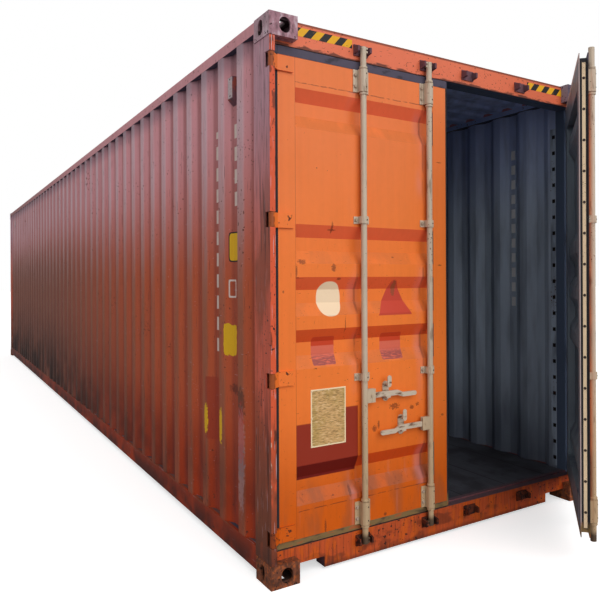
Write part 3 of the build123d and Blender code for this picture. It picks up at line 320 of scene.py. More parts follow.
class Finish:
    """A procedural material in the making. It reads Object coordinates in metres, or
    a leaf's own coordinates, and its methods add nodes and give back sockets."""

    def __init__(self, name, base, leaf=None):
        self.material = bpy.data.materials.new(name)
        self.material.use_nodes = True
        self.tree = self.material.node_tree
        self.shader = self.tree.nodes["Principled BSDF"]
        coordinates = self.add("ShaderNodeTexCoord")
        self.place = coordinates.outputs["Object"]
        self.normal = coordinates.outputs["Normal"]
        if leaf:
            self.place = self.onto_leaf(leaf)
        split = self.add("ShaderNodeSeparateXYZ")
        self.feed(split.inputs[0], self.place)
        self.x, self.y, self.z = split.outputs
        self.colour = base
        self.relief = None

    def add(self, kind, **settings):
        """Adds a node with its settings."""
        node = self.tree.nodes.new(kind)
        for setting, value in settings.items():
            setattr(node, setting, value)
        return node

    def feed(self, socket, value):
        """Links a socket, or sets its number, vector or colour."""
        if isinstance(value, bpy.types.NodeSocket):
            self.tree.links.new(value, socket)
        elif socket.type == "RGBA":
            socket.default_value = (*value[:3], 1)
        else:
            socket.default_value = value

    def onto_leaf(self, word):
        """Object coordinates turned into a leaf's."""
        corner, along, inwards = leaf_axes(word)
        mapping = self.add("ShaderNodeMapping", vector_type="TEXTURE")
        self.feed(mapping.inputs["Vector"], self.place)
        self.feed(mapping.inputs["Location"], corner)
        self.feed(mapping.inputs["Rotation"], (0, 0, atan2(along.y, along.x)))
        handed = along.cross(inwards).z
        self.feed(mapping.inputs["Scale"], (1, handed, 1))
        return mapping.outputs["Vector"]

    def math(self, operation, *values):
        """A Math node."""
        node = self.add("ShaderNodeMath", operation=operation)
        for socket, value in zip(node.inputs, values):
            self.feed(socket, value)
        return node.outputs[0]

    def vector_math(self, operation, *values):
        """A Vector Math node that gives a vector."""
        node = self.add("ShaderNodeVectorMath", operation=operation)
        for socket, value in zip(node.inputs, values):
            self.feed(socket, value)
        return node.outputs["Vector"]

    def share(self, value, pitch):
        """How far a value is through its step of this pitch, from 0 to 1."""
        return self.math("FRACT", self.math("DIVIDE", value, pitch))

    def facing(self, direction):
        """How much the surface faces a direction, from -1 to 1."""
        node = self.add("ShaderNodeVectorMath", operation="DOT_PRODUCT")
        self.feed(node.inputs[0], self.normal)
        self.feed(node.inputs[1], direction)
        return node.outputs["Value"]

    def fade(self, value, start, end):
        """A smooth step that is 0 at start and 1 at end."""
        node = self.add("ShaderNodeMapRange", interpolation_type="SMOOTHSTEP")
        self.feed(node.inputs["Value"], value)
        self.feed(node.inputs["From Min"], start)
        self.feed(node.inputs["From Max"], end)
        return node.outputs["Result"]

    def band(self, value, low, high, soft=0.001):
        """1 between two limits and 0 outside them."""
        up = self.fade(value, low - soft, low + soft)
        down = self.fade(value, high + soft, high - soft)
        return self.math("MULTIPLY", up, down)

    def both(self, *masks):
        """The product of masks."""
        product = masks[0]
        for mask in masks[1:]:
            product = self.math("MULTIPLY", product, mask)
        return product

    def noise(self, size, stretch=(1, 1, 1), detail=2.0, seed=0):
        """Cloudy noise about 0.5, with lumps of this size in metres. A stretch below
        1 draws the lumps out along that axis."""
        place = self.vector_math("MULTIPLY", self.place, stretch)
        place = self.vector_math("ADD", place, (seed, seed * 1.7, seed * 2.3))
        node = self.add("ShaderNodeTexNoise")
        self.feed(node.inputs["Vector"], place)
        self.feed(node.inputs["Scale"], 1 / size)
        self.feed(node.inputs["Detail"], detail)
        return node.outputs[0]

    def patch(self, centre, half, power=8, ragged=0.0, soft=0.04):
        """1 inside a rounded shape in X and Z about a centre: an ellipse with a power
        of 2, and a box with rounded corners with a power of 8."""
        terms = []
        for value, middle, reach in zip((self.x, self.z), centre, half):
            offset = self.math("ABSOLUTE", self.math("SUBTRACT", value, middle))
            terms.append(self.math("POWER", self.math("DIVIDE", offset, reach), power))
        total = self.math("ADD", *terms)
        if ragged:
            rough = self.noise(min(half) / 2, detail=4, seed=centre[1])
            total = self.math("MULTIPLY_ADD", rough, ragged * 2, total)
            total = self.math("SUBTRACT", total, ragged)
        return self.fade(total, 1 + soft * power / 2, 1 - soft * power / 2)

    def mix(self, mask, below, above):
        """One colour over another."""
        node = self.add("ShaderNodeMix", data_type="RGBA")
        self.feed(node.inputs[0], mask)
        self.feed(node.inputs[6], below)
        self.feed(node.inputs[7], above)
        return node.outputs[2]

    def coat(self, mask, paint, strength=1.0):
        """Lays a colour over what is there."""
        if strength != 1.0:
            mask = self.math("MULTIPLY", mask, strength)
        self.colour = self.mix(mask, self.colour, paint)

    def shade(self, value, amount):
        """Lightens and darkens with a value about 0.5."""
        node = self.add("ShaderNodeHueSaturation")
        brightness = self.math("MULTIPLY_ADD", value, 2 * amount, 1 - amount)
        self.feed(node.inputs["Value"], brightness)
        self.feed(node.inputs["Color"], self.colour)
        self.colour = node.outputs[0]

    def raise_by(self, mask, height):
        """Adds bump: the mask stands this many metres proud."""
        step = self.math("MULTIPLY", mask, height)
        self.relief = step if self.relief is None else self.math("ADD", self.relief, step)

    def mottle(self, amount, seed):
        """Uneven fading, large and small."""
        self.shade(self.noise(0.45, detail=3, seed=seed), amount)
        self.shade(self.noise(0.04, detail=3, seed=seed + 1), amount * 0.6)

    def streaks(self, amount, width, seed):
        """Rain streaks that run down the surface."""
        self.shade(self.noise(width, stretch=(1, 1, 0.04), detail=3, seed=seed), amount)

    def rust_spots(self, paint, limit, size, seed):
        """Clusters of rust spots: a lower limit gives more of them."""
        clusters = self.noise(0.4, detail=2, seed=seed)
        fine = self.noise(size, detail=4, seed=seed + 3)
        value = self.math("MULTIPLY_ADD", clusters, 0.35, fine)
        mask = self.fade(value, limit + 0.175, limit + 0.205)
        self.coat(mask, paint)
        self.raise_by(mask, 0.0004)

    def scratches(self, paint, stretch, limit, seed):
        """Thin scratches along the axes that the stretch draws out."""
        fine = self.noise(0.005, stretch=stretch, detail=1, seed=seed)
        self.coat(self.fade(fine, limit, limit + 0.02), paint, 0.7)

    def orange_peel(self, height=0.0003):
        """The fine waviness of brushed or sprayed paint."""
        self.raise_by(self.noise(0.012, detail=2, seed=4.1), height)

    def done(self, roughness):
        """Joins colour, gloss and bump to the shader and gives back the material."""
        self.feed(self.shader.inputs["Base Color"], self.colour)
        wear = self.noise(0.09, detail=3, seed=9.2)
        gloss = self.math("MULTIPLY_ADD", wear, 0.24, roughness - 0.12)
        self.feed(self.shader.inputs["Roughness"], gloss)
        self.shader.inputs["Specular IOR Level"].default_value = 0.25
        if self.relief is not None:
            bump = self.add("ShaderNodeBump")
            bump.inputs["Distance"].default_value = 1.0
            self.feed(bump.inputs["Height"], self.relief)
            self.feed(self.shader.inputs["Normal"], bump.outputs["Normal"])
        return self.material


def dress(node, material):
    """Gives a CAD node its finish."""
    slots = frame["nodes"][node].data.materials
    slots.clear()
    slots.append(material)


def finish_piece(name, bm, body, material):
    """Makes a piece of a finished bmesh, at the origin, riding on a body."""
    bmesh.ops.recalc_face_normals(bm, faces=bm.faces)
    mesh = bpy.data.meshes.new(name)
    bm.to_mesh(mesh)
    bm.free()
    mesh.materials.append(material)
    piece = bpy.data.objects.new(name, mesh)
    bpy.context.scene.collection.objects.link(piece)
    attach(piece, body)


def add_block(bm, low, high, edge=0.0, place=None):
    """A box between two corners with softened edges, moved by a matrix if given."""
    low, high = Vector(low), Vector(high)
    size = high - low
    matrix = Matrix.Translation((low + high) / 2) @ Matrix.Diagonal((*size, 1))
    made = bmesh.ops.create_cube(bm, size=1, matrix=matrix)["verts"]
    if edge:
        edges = list({edge_of for vert in made for edge_of in vert.link_edges})
        softened = bmesh.ops.bevel(
            bm, geom=edges, offset=edge, segments=2, profile=0.5, affect="EDGES", material=-1
        )
        made = softened["verts"]
        made = list({vert for face in softened["faces"] for vert in face.verts} | set(made))
    if place:
        bmesh.ops.transform(bm, matrix=place, verts=made)


def finish_block(name, low, high, edge, body, material, place=None):
    """A tape, plate or strip as a piece of its own."""
    bm = bmesh.new()
    add_block(bm, low, high, edge, place)
    finish_piece(name, bm, body, material)


def add_bolt(bm, place, radius, height, sides=6):
    """A bolt head or rivet whose foot is at the matrix's origin, along its Z."""
    rise = place @ Matrix.Translation((0, 0, height / 2))
    bmesh.ops.create_cone(
        bm, cap_ends=True, segments=sides, radius1=radius, radius2=radius * 0.86, depth=height,
        matrix=rise,
    )


def add_ring(bm, place, inner, outer, height):
    """A collar about the matrix's Z axis: its section, with softened outer corners,
    spun round."""
    soft = (outer - inner) / 4
    section = (
        (inner, 0), (outer - soft, 0), (outer, soft), (outer, height - soft),
        (outer - soft, height), (inner, height),
    )
    verts = [bm.verts.new((radius, 0, rise)) for radius, rise in section]
    edges = [bm.edges.new(pair) for pair in zip(verts, verts[1:] + verts[:1])]
    known = set(bm.verts) - set(verts)
    bmesh.ops.spin(
        bm, geom=[*verts, *edges], cent=(0, 0, 0), axis=(0, 0, 1), angle=2 * pi, steps=24,
        use_merge=True,
    )
    made = [vert for vert in bm.verts if vert not in known]
    bmesh.ops.transform(bm, matrix=place, verts=made)


def painted_steel(name, base, faded, low, leaf=None, seed=0):
    """Old sprayed paint: pinker at the top, browner at the foot."""
    finish = Finish(name, base, leaf)
    finish.coat(finish.fade(finish.z, 1.5, 2.6), faded)
    finish.coat(finish.fade(finish.z, 1.0, 0.25), low)
    finish.mottle(0.06, seed)
    return finish


def outside_of(finish, direction):
    """A mask for the faces of a thin sheet that look in a direction."""
    return finish.fade(finish.facing(direction), -0.05, 0.05)


def inside_colours(finish, outer, paint):
    """Puts the inside's blue grey paint on the faces that don't look outwards, with painted shade
    below the roof, dirt, and darker towards the floor.
    """
    # Painted shade of the inside below the roof
    ceiling = finish.fade(finish.z, 1.9, 2.75)
    tone = finish.mix(ceiling, paint.inside, paint.inside_dark)
    dirt = finish.noise(0.10, stretch=(1, 1, 0.15), detail=4, seed=5)
    stained = finish.math("MULTIPLY", finish.fade(dirt, 0.40, 0.75), 0.45)
    tone = finish.mix(stained, tone, paint.slate_shade_and_dirt)
    foot = finish.math("MULTIPLY", finish.fade(finish.z, 0.9, 0.18), 0.6)
    tone = finish.mix(foot, tone, paint.slate_shade_and_dirt)
    finish.colour = finish.mix(outer, tone, finish.colour)


def towards_middle(finish):
    """A mask for the faces that look from either side towards the middle."""
    side = finish.math("SIGN", finish.y)
    return finish.fade(finish.math("MULTIPLY", finish.facing((0, 1, 0)), side), -0.5, -0.8)


def side_wall_finish(side, paint, marks):
    """A side wall's paint, with outer flats paler from painted sheen and chalky wear, painted
    shade in the valleys and under the top rail, darker towards the foot, and, on the left
    wall, the patches and bars that are painted on it."""
    finish = painted_steel(f"{side}_wall_paint", paint.wall, paint.wall_faded, paint.wall_low)
    far = finish.fade(finish.x, END - 1.2, -0.3 * END)
    far_low = finish.both(far, finish.fade(finish.z, 2.3, 1.6))
    finish.coat(far_low, paint.wall_far, 0.9)
    finish.coat(far, paint.wall_far, 0.4)
    finish.streaks(0.12, 0.03, seed=2)
    depth = finish.math("ABSOLUTE", finish.y)
    crest = HALF_WIDTH - SIDE_WALL_SET
    # Painted shade in the valleys of the ribs
    valleys = finish.fade(depth, crest - SIDE_RIB_DEPTH + 0.012, crest - SIDE_RIB_DEPTH + 0.002)
    finish.coat(valleys, paint.valley_shade, 0.45)
    # Painted sheen with chalky wear: the outer flats are paler
    flats = finish.fade(depth, crest - 0.010, crest - 0.001)
    sheen_and_rubbing = finish.fade(finish.noise(0.05, stretch=(1, 1, 0.12), detail=4, seed=8), 0.20, 0.55)
    chalk = finish.mix(finish.fade(finish.z, 1.3, 2.5), paint.rubbed_low, paint.rubbed)
    finish.coat(finish.both(flats, sheen_and_rubbing), chalk, 0.62)
    finish.scratches(paint.rubbed, (0.03, 1, 1), 0.76, seed=1)
    finish.scratches(paint.dark_rust, (1, 1, 0.03), 0.72, seed=2.5)
    finish.rust_spots(paint.rust, 0.70, 0.02, seed=3)
    finish.rust_spots(paint.dark_rust, 0.735, 0.012, seed=6)
    # Darker towards the foot and towards the closed end
    foot_cloud = finish.noise(0.25, stretch=(1, 1, 0.5), detail=5, seed=11)
    low_darkening = finish.both(finish.fade(finish.z, 0.75, 0.16), finish.fade(foot_cloud, 0.38, 0.6))
    finish.coat(low_darkening, paint.black_dirt_and_shade, 0.6)
    beyond = finish.fade(finish.x, END - 1.0, END - 3.4)
    finish.coat(finish.both(beyond, finish.fade(finish.z, 1.5, 0.4)), paint.black_dirt_and_shade, 0.20)
    far_low_darkening = finish.both(far, finish.fade(finish.z, 1.2, 0.2), finish.fade(foot_cloud, 0.30, 0.62))
    finish.coat(far_low_darkening, paint.black_dirt_and_shade, 0.65)
    # Painted shadow under the top rail
    shade = finish.fade(finish.z, WALL_TOP - 0.16, WALL_TOP - 0.02)
    finish.coat(shade, paint.slate_shade_and_dirt, 0.45)
    if side == "left":
        left_wall_marks(finish, paint, marks)
    inside_colours(finish, outside_of(finish, (0, SIGNS[side], 0)), paint)
    if side == "right":
        inside_bars(finish, marks)
    finish.orange_peel()
    return finish.done(0.55)


def bars(finish, centre, width, low, high, pitch, fill=0.62):
    """A column of plain painted bars about a place in X."""
    column = finish.band(finish.x, centre - width / 2, centre + width / 2, 0.003)
    reach = finish.band(finish.z, low, high, 0.002)
    step = finish.share(finish.math("SUBTRACT", finish.z, low), pitch)
    bar = finish.fade(step, fill + 0.02, fill - 0.02)
    thin = finish.math("MULTIPLY_ADD", finish.noise(0.03, detail=3, seed=low), 0.5, 0.7)
    return finish.both(column, reach, bar, thin)


def left_wall_marks(finish, paint, marks):
    """Two columns of plain bars, a framed box, plain yellow patches and dark repairs."""
    valley_near = END - FIRST_INNER_FLAT
    valley_next = valley_near - SIDE_RIB_PITCH
    near = bars(finish, valley_near, 0.034, 1.97, 2.45, marks.bar_pitch)
    finish.coat(near, marks.chalk)
    following = bars(finish, valley_next, 0.038, 1.12, 2.44, marks.bar_pitch)
    finish.coat(following, marks.chalk)
    label = finish.patch((END - 0.539, 1.738), (0.050, 0.086))
    core = finish.patch((END - 0.539, 1.738), (0.044, 0.078))
    finish.coat(label, paint.black_dirt_and_shade)
    finish.coat(core, marks.yellow)
    box = finish.patch((END - 0.556, 1.500), (0.034, 0.052), power=12)
    hole = finish.patch((END - 0.556, 1.500), (0.025, 0.042), power=12)
    finish.coat(finish.math("SUBTRACT", box, hole), marks.chalk)
    yellow = finish.patch((END - 0.572, 1.205), (0.054, 0.090), 6, ragged=1.4)
    finish.coat(yellow, marks.yellow)
    repair = finish.patch((END - 0.855, 0.770), (0.075, 0.190), 12, ragged=0.3)
    finish.coat(repair, marks.repaint, 0.65)
    rib = END - FIRST_INNER_FLAT + SIDE_RIB_PITCH / 2
    for height, half_height, tone, strength in (
        (0.880, 0.080, paint.black_dirt_and_shade, 0.55), (0.560, 0.090, paint.black_dirt_and_shade, 0.5),
        (0.560, 0.260, paint.rubbed, 0.26), (0.700, 0.160, paint.repaint_rub, 0.45),
    ):
        rub = finish.patch((rib, height), (0.040, half_height), 3, ragged=2.4, soft=0.4)
        finish.coat(rub, tone, strength)
    smudge = finish.patch(
        (END - FIRST_INNER_FLAT, 0.930), (0.060, 0.030), 2, ragged=2.0, soft=0.6
    )
    finish.coat(smudge, paint.black_dirt_and_shade, 0.55)
    for distance, height, half_width, half_height in (
        (0.919, 0.700, 0.024, 0.092), (0.676, 0.700, 0.020, 0.098),
    ):
        scrap = finish.patch(
            (END - distance, height), (half_width, half_height), 3, ragged=1.8
        )
        finish.coat(scrap, marks.yellow)


def inside_bars(finish, marks):
    """The column of pale bars on the inside of the right wall."""
    centre = END - 0.655
    column = bars(finish, centre, 0.040, 1.33, 2.57, marks.bar_pitch * 0.9)
    inner = outside_of(finish, (0, -1, 0))
    finish.coat(finish.both(column, inner), marks.inner_chalk, 1.3)


def door_paint(word, name, paint):
    """The doors' orange paint on a leaf, with painted shade on its slopes, rust, scratches,
    stains and rain streaks. X is the distance from the side face and Z the height."""
    finish = painted_steel(name, paint.door, paint.door_faded, paint.door_low, word, seed=4)
    # Painted shade: redder on slopes that look down, duller on slopes that look up
    tilt = finish.facing((0, 0, 1))
    shade = finish.mix(finish.fade(finish.z, 2.0, 0.9), paint.door_shade, paint.door_shade_low)
    finish.coat(finish.fade(tilt, -0.15, -0.45), shade, 0.8)
    # Low down the duller painted shade runs into real mauve stains
    dusty = finish.mix(finish.fade(finish.z, 1.2, 0.5), paint.door_up_shade, paint.stain)
    foot = finish.fade(finish.z, 0.62, 0.30)
    clouds = finish.noise(0.12, stretch=(1, 1, 0.30), detail=4, seed=7)
    patchy = finish.math("MULTIPLY_ADD", finish.fade(clouds, 0.35, 0.60), 0.7, 0.3)
    finish.coat(finish.both(finish.fade(tilt, 0.15, 0.45), patchy), dusty, 0.6)
    finish.coat(finish.both(foot, finish.fade(clouds, 0.42, 0.66)), paint.stain, 0.55)
    pale = finish.noise(0.05, stretch=(1, 1, 0.06), detail=4, seed=7)
    finish.coat(finish.both(foot, finish.fade(pale, 0.56, 0.80)), paint.rubbed, 0.16)
    drips = finish.noise(0.022, stretch=(1, 1, 0.05), detail=3, seed=12)
    finish.coat(finish.both(foot, finish.fade(drips, 0.58, 0.72)), paint.rust, 0.35)
    finish.streaks(0.05, 0.025, seed=1)
    worn = finish.fade(finish.z, 1.9, 1.5)
    for stretch, seed in (((0.12, 1, 1), 3.0), ((1, 1, 0.10), 5.0)):
        fine = finish.noise(0.005, stretch=stretch, detail=1, seed=seed)
        finish.coat(finish.both(worn, finish.fade(fine, 0.735, 0.755)), paint.rust, 0.55)
    finish.rust_spots(paint.rust, 0.765, 0.014, seed=2)
    return finish


def leaf_inside(finish, word, paint):
    """Slate grey on every face of a leaf that doesn't look outwards: the inside paint darkened as
    painted shade, with dirt.
    """
    outer = finish.fade(finish.facing(leaf_axes(word)[2]), -0.05, -0.12)
    dirt = finish.noise(0.10, stretch=(1, 1, 0.15), detail=4, seed=5)
    tone = finish.mix(finish.fade(dirt, 0.40, 0.80), paint.leaf_inner_shaded, paint.slate_shade_and_dirt)
    finish.colour = finish.mix(outer, tone, finish.colour)


def stile_seams(finish, paint):
    """The dark seams between the pressed panel and the leaf's frame."""
    for place in (LEAF_START + STILE_WIDTH, LEAF_END - STILE_WIDTH):
        line = finish.band(finish.x, place - 0.0015, place + 0.0015, 0.0015)
        finish.coat(line, paint.rust, 0.42)
    for height in (PANEL_LOW.z, PANEL_HIGH.z):
        wavy = finish.math("MULTIPLY_ADD", finish.noise(0.05, seed=height), 0.008, finish.z)
        line = finish.band(wavy, height + 0.0015, height + 0.0065, 0.0015)
        within = finish.band(finish.x, LEAF_START + STILE_WIDTH, LEAF_END - STILE_WIDTH)
        broken = finish.fade(finish.noise(0.03, detail=3, seed=height), 0.35, 0.55)
        finish.coat(finish.both(line, within, broken), paint.rust, 0.65)


def door_panel_finish(word, paint, marks):
    """The pressed panel, with painted shade beside the rods and the patches and stickers of the
    left one.
    """
    finish = door_paint(word, f"{word}_panel_paint", paint)
    stile_seams(finish, paint)
    for rod in PLACES:
        pos = Vector(joint(f"left_{rod}_rod_turn")["pos_m"])
        place = pos.y + HALF_WIDTH - 0.045
        offset = finish.math("ABSOLUTE", finish.math("SUBTRACT", finish.x, place))
        # Painted shade and dirt: a mauve smear beside each rod
        rod_shade_and_dirt = finish.fade(offset, 0.055, 0.0)
        cloud = finish.noise(0.22, stretch=(1, 1, 0.6), detail=3, seed=place)
        cloud = finish.fade(cloud, 0.42, 0.72)
        finish.coat(finish.both(rod_shade_and_dirt, cloud), paint.wall_faded, 0.38)
        # Painted shadow of the rod: a thin rusty band beside it
        beside = finish.band(finish.x, place + 0.012, place + 0.026, 0.004)
        finish.coat(finish.both(beside, finish.fade(cloud, 0.0, 0.4)), paint.rust, 0.35)
    if word == "left":
        left_door_marks(finish, paint, marks)
    leaf_inside(finish, word, paint)
    finish.orange_peel()
    return finish.done(0.42)


def left_door_marks(finish, paint, marks):
    """Plain patches on the left leaf: an oval, a worn one, two stickers and a repaint."""
    top = finish.math("MULTIPLY_ADD", finish.fade(finish.x, 0.448, 0.452), -0.062, finish.z)
    repaint = finish.both(
        finish.band(finish.x, 0.160, 0.559, 0.003),
        finish.fade(finish.z, 0.492, 0.498),
        finish.fade(top, 0.796, 0.788),
    )
    finish.coat(repaint, marks.repaint)
    # Painted shade: the repaint's upper slope looks down and is darkened
    lip = finish.both(repaint, finish.fade(finish.z, 0.582, 0.572))
    finish.coat(lip, marks.repaint_shade)
    scuffs(finish, paint, PANEL_SCUFFS)
    oval = finish.patch((0.391, 1.446), (0.075, 0.094), power=2.4)
    finish.coat(oval, marks.oval)
    narrowing = finish.math("MULTIPLY_ADD", finish.z, -0.52, 0.52 * 1.345 + 0.119)
    offset = finish.math("ABSOLUTE", finish.math("SUBTRACT", finish.x, 0.822))
    ragged_top = finish.math("MULTIPLY_ADD", finish.noise(0.03, detail=4, seed=3.3), 0.07, finish.z)
    worn = finish.both(
        finish.fade(finish.math("SUBTRACT", offset, narrowing), 0.002, -0.002),
        finish.fade(finish.z, 1.343, 1.347),
        finish.fade(ragged_top, 1.590, 1.574),
    )
    finish.coat(worn, marks.worn_red)
    nick = finish.patch((0.826, 1.500), (0.016, 0.045), 2, ragged=1.6)
    finish.coat(finish.both(worn, nick), paint.stain, 0.8)
    for middle, half in ((0.354, 0.071), (0.806, 0.074)):
        sticker = finish.patch((middle, 1.168), (half, 0.076), 14, ragged=0.2)
        finish.coat(sticker, marks.sticker, 0.85)
        finish.coat(finish.both(sticker, finish.fade(finish.z, 1.192, 1.198)), marks.sticker_top)
        torn = finish.noise(0.006, stretch=(0.18, 1, 1), detail=3, seed=middle)
        below = finish.fade(finish.z, 1.160, 1.125)
        foot = finish.both(sticker, below, finish.fade(torn, 0.38, 0.52))
        finish.coat(foot, marks.sticker_dark, 0.85)


def scuffs(finish, paint, places):
    """Rusty scuffs, each with its distance along the leaf, height and half sizes."""
    for across, height, half_width, half_height in places:
        mark = finish.patch(
            (across, height), (half_width, half_height), 2, ragged=2.6, soft=0.5
        )
        finish.coat(mark, paint.rust, 0.65)


def door_frame_finish(word, paint):
    """The leaf's tube frame, with dark seams where the panel meets it."""
    finish = door_paint(word, f"{word}_leaf_paint", paint)
    stile_seams(finish, paint)
    if word == "left":
        scuffs(finish, paint, FRAME_SCUFFS)
    leaf_inside(finish, word, paint)
    finish.orange_peel()
    return finish.done(0.42)


def hinge_finish(word, paint):
    """Door paint with rust worked into it."""
    finish = door_paint(word, f"{word}_hinge_paint", paint)
    rough = finish.noise(0.02, detail=4, seed=6)
    knuckle = finish.fade(finish.math("MULTIPLY_ADD", rough, -0.05, finish.x), 0.012, 0.002)
    finish.coat(knuckle, paint.rust, 0.7)
    finish.rust_spots(paint.rust, 0.62, 0.02, seed=8)
    return finish.done(0.5)


def post_finish(paint):
    """The posts' brown paint, stained and scuffed up and down, with orange red on the
    front of the nose and navy on the faces that the doors shut against."""
    finish = painted_steel("post_paint", paint.post, paint.post_faded, paint.post_low)
    patches = finish.noise(0.14, stretch=(1, 1, 0.30), detail=5, seed=7)
    below = finish.fade(finish.z, 2.5, 1.7)
    finish.coat(finish.both(finish.fade(patches, 0.46, 0.60), below), paint.post_low, 0.6)
    flame = finish.noise(0.07, stretch=(1, 1, 0.25), detail=5, seed=4)
    lower = finish.fade(finish.z, 1.1, 0.6)
    finish.coat(finish.both(lower, finish.fade(flame, 0.54, 0.64)), paint.sill, 0.4)
    finish.streaks(0.30, 0.008, seed=3)
    for width, limit, seed in ((0.030, 0.56, 8.0), (0.008, 0.62, 9.0)):
        rub = finish.noise(width, stretch=(1, 1, 0.05), detail=4, seed=seed)
        finish.coat(finish.fade(rub, limit, limit + 0.08), paint.dark_rust, 0.6)
    across = finish.math("ABSOLUTE", finish.y)
    front = finish.fade(finish.facing((1, 0, 0)), 0.5, 0.8)
    nose = finish.both(front, finish.fade(finish.x, END - 0.012, END - 0.006))
    finish.coat(nose, paint.nose)
    worn = finish.noise(0.03, stretch=(1, 1, 0.3), detail=4, seed=1)
    rusty = finish.math("MULTIPLY_ADD", worn, -1.6, finish.z)
    finish.coat(finish.both(nose, finish.fade(rusty, 0.25, -0.45)), paint.post_low, 0.85)
    finish.coat(finish.both(nose, finish.fade(worn, 0.56, 0.62)), paint.rust, 0.75)
    corner = finish.both(
        finish.fade(across, POST_SIDE - 0.006, POST_SIDE - 0.002),
        finish.fade(finish.x, END - 0.012, END - 0.006),
        finish.band(finish.z, 0.48, 0.80, 0.02),
        finish.fade(finish.noise(0.015, stretch=(1, 1, 0.3), seed=6), 0.55, 0.62),
    )
    finish.coat(corner, paint.zinc)
    finish.scratches(paint.rubbed, (1, 1, 0.03), 0.69, seed=2)
    finish.rust_spots(paint.dark_rust, 0.69, 0.014, seed=5)
    finish.coat(finish.fade(finish.z, 0.30, 0.12), paint.black_dirt_and_shade, 0.45)
    behind = finish.fade(finish.x, DOOR_FACE - 0.004, DOOR_FACE - 0.008)
    finish.coat(finish.both(towards_middle(finish), behind), paint.jamb)
    step = finish.both(
        finish.fade(across, POST_SIDE - 0.031, POST_SIDE - 0.032),
        finish.fade(finish.x, 0, 1),
    )
    finish.coat(step, paint.jamb)
    finish.raise_by(patches, 0.0008)
    finish.orange_peel()
    return finish.done(0.5)


def casting_finish(paint):
    """Rough cast steel: mauve and dirty at the top, flaking and rusty at the foot, with painted
    shade black in the hollow, painted shadow on the right side's top castings and a painted
    highlight high up on faces that look to -Y."""
    finish = Finish("casting_paint", paint.casting)
    high = finish.fade(finish.z, TOP - 0.3, TOP - 0.1)
    finish.coat(high, paint.post_faded, 0.9)
    finish.coat(high, paint.casting_high, 0.30)
    flakes = finish.noise(0.018, detail=5, seed=2)
    low = finish.fade(finish.z, 0.5, 0.3)
    finish.coat(finish.both(low, finish.fade(flakes, 0.48, 0.62)), paint.casting_rust, 0.8)
    dirt = finish.noise(0.03, stretch=(1, 1, 0.5), detail=5, seed=6)
    finish.coat(finish.fade(dirt, 0.50, 0.66), paint.black_dirt_and_shade, 0.55)
    finish.coat(finish.both(high, finish.fade(dirt, 0.48, 0.36)), paint.rubbed, 0.7)
    # Painted shadow of the open door on the right side's top castings
    finish.coat(finish.both(high, finish.fade(finish.y, 1.00, 1.03)), paint.slate_shade_and_dirt, 0.8)
    # Painted highlight on the high faces that look to -Y
    left_side = finish.fade(finish.facing((0, 1, 0)), -0.5, -0.8)
    finish.coat(finish.both(high, left_side), paint.rubbed, 0.35)
    finish.mottle(0.20, 3)
    finish.rust_spots(paint.dark_rust, 0.62, 0.02, seed=4)
    # Painted shade: black in the hollow of each face
    from_end = finish.math("SUBTRACT", END, finish.math("ABSOLUTE", finish.x))
    from_side = finish.math("SUBTRACT", HALF_WIDTH, finish.math("ABSOLUTE", finish.y))
    from_level = finish.math("MINIMUM", finish.z, finish.math("SUBTRACT", TOP, finish.z))
    faces = zip((from_end, from_side, from_level), CASTING_SIZE)
    hollow = [finish.band(face, 0.012, size - 0.010, 0.008) for face, size in faces]
    finish.coat(finish.both(*hollow), paint.black_dirt_and_shade, 0.9)
    finish.raise_by(finish.noise(0.010, detail=4, seed=1), 0.0025)
    return finish.done(0.7)


def header_finish(paint):
    """The header: orange, with a maroon upper edge and a rusty lower one."""
    finish = Finish("header_paint", paint.header)
    finish.mottle(0.07, 1)
    finish.coat(finish.fade(finish.y, 0.0, HALF_WIDTH), paint.sill, 0.45)
    upper = finish.fade(finish.z, HEADER_HIGH.z - 0.016, HEADER_HIGH.z - 0.008)
    finish.coat(upper, paint.rust, 0.75)
    edge_noise = finish.noise(0.025, stretch=(0.3, 0.3, 1), detail=5, seed=2)
    lower = finish.math("MULTIPLY_ADD", edge_noise, -0.06, finish.z)
    edge = finish.fade(lower, HEADER_LOW.z - 0.018, HEADER_LOW.z - 0.026)
    finish.coat(edge, paint.dark_rust, 0.8)
    finish.scratches(paint.rust, (1, 0.1, 1), 0.73, seed=4)
    finish.rust_spots(paint.rust, 0.68, 0.014, seed=5)
    behind = finish.fade(finish.x, DOOR_FACE - 0.002, DOOR_FACE - 0.006)
    below = finish.fade(finish.facing((0, 0, 1)), 0.6, 0.2)
    finish.coat(finish.both(behind, below), paint.jamb)
    finish.orange_peel()
    return finish.done(0.45)


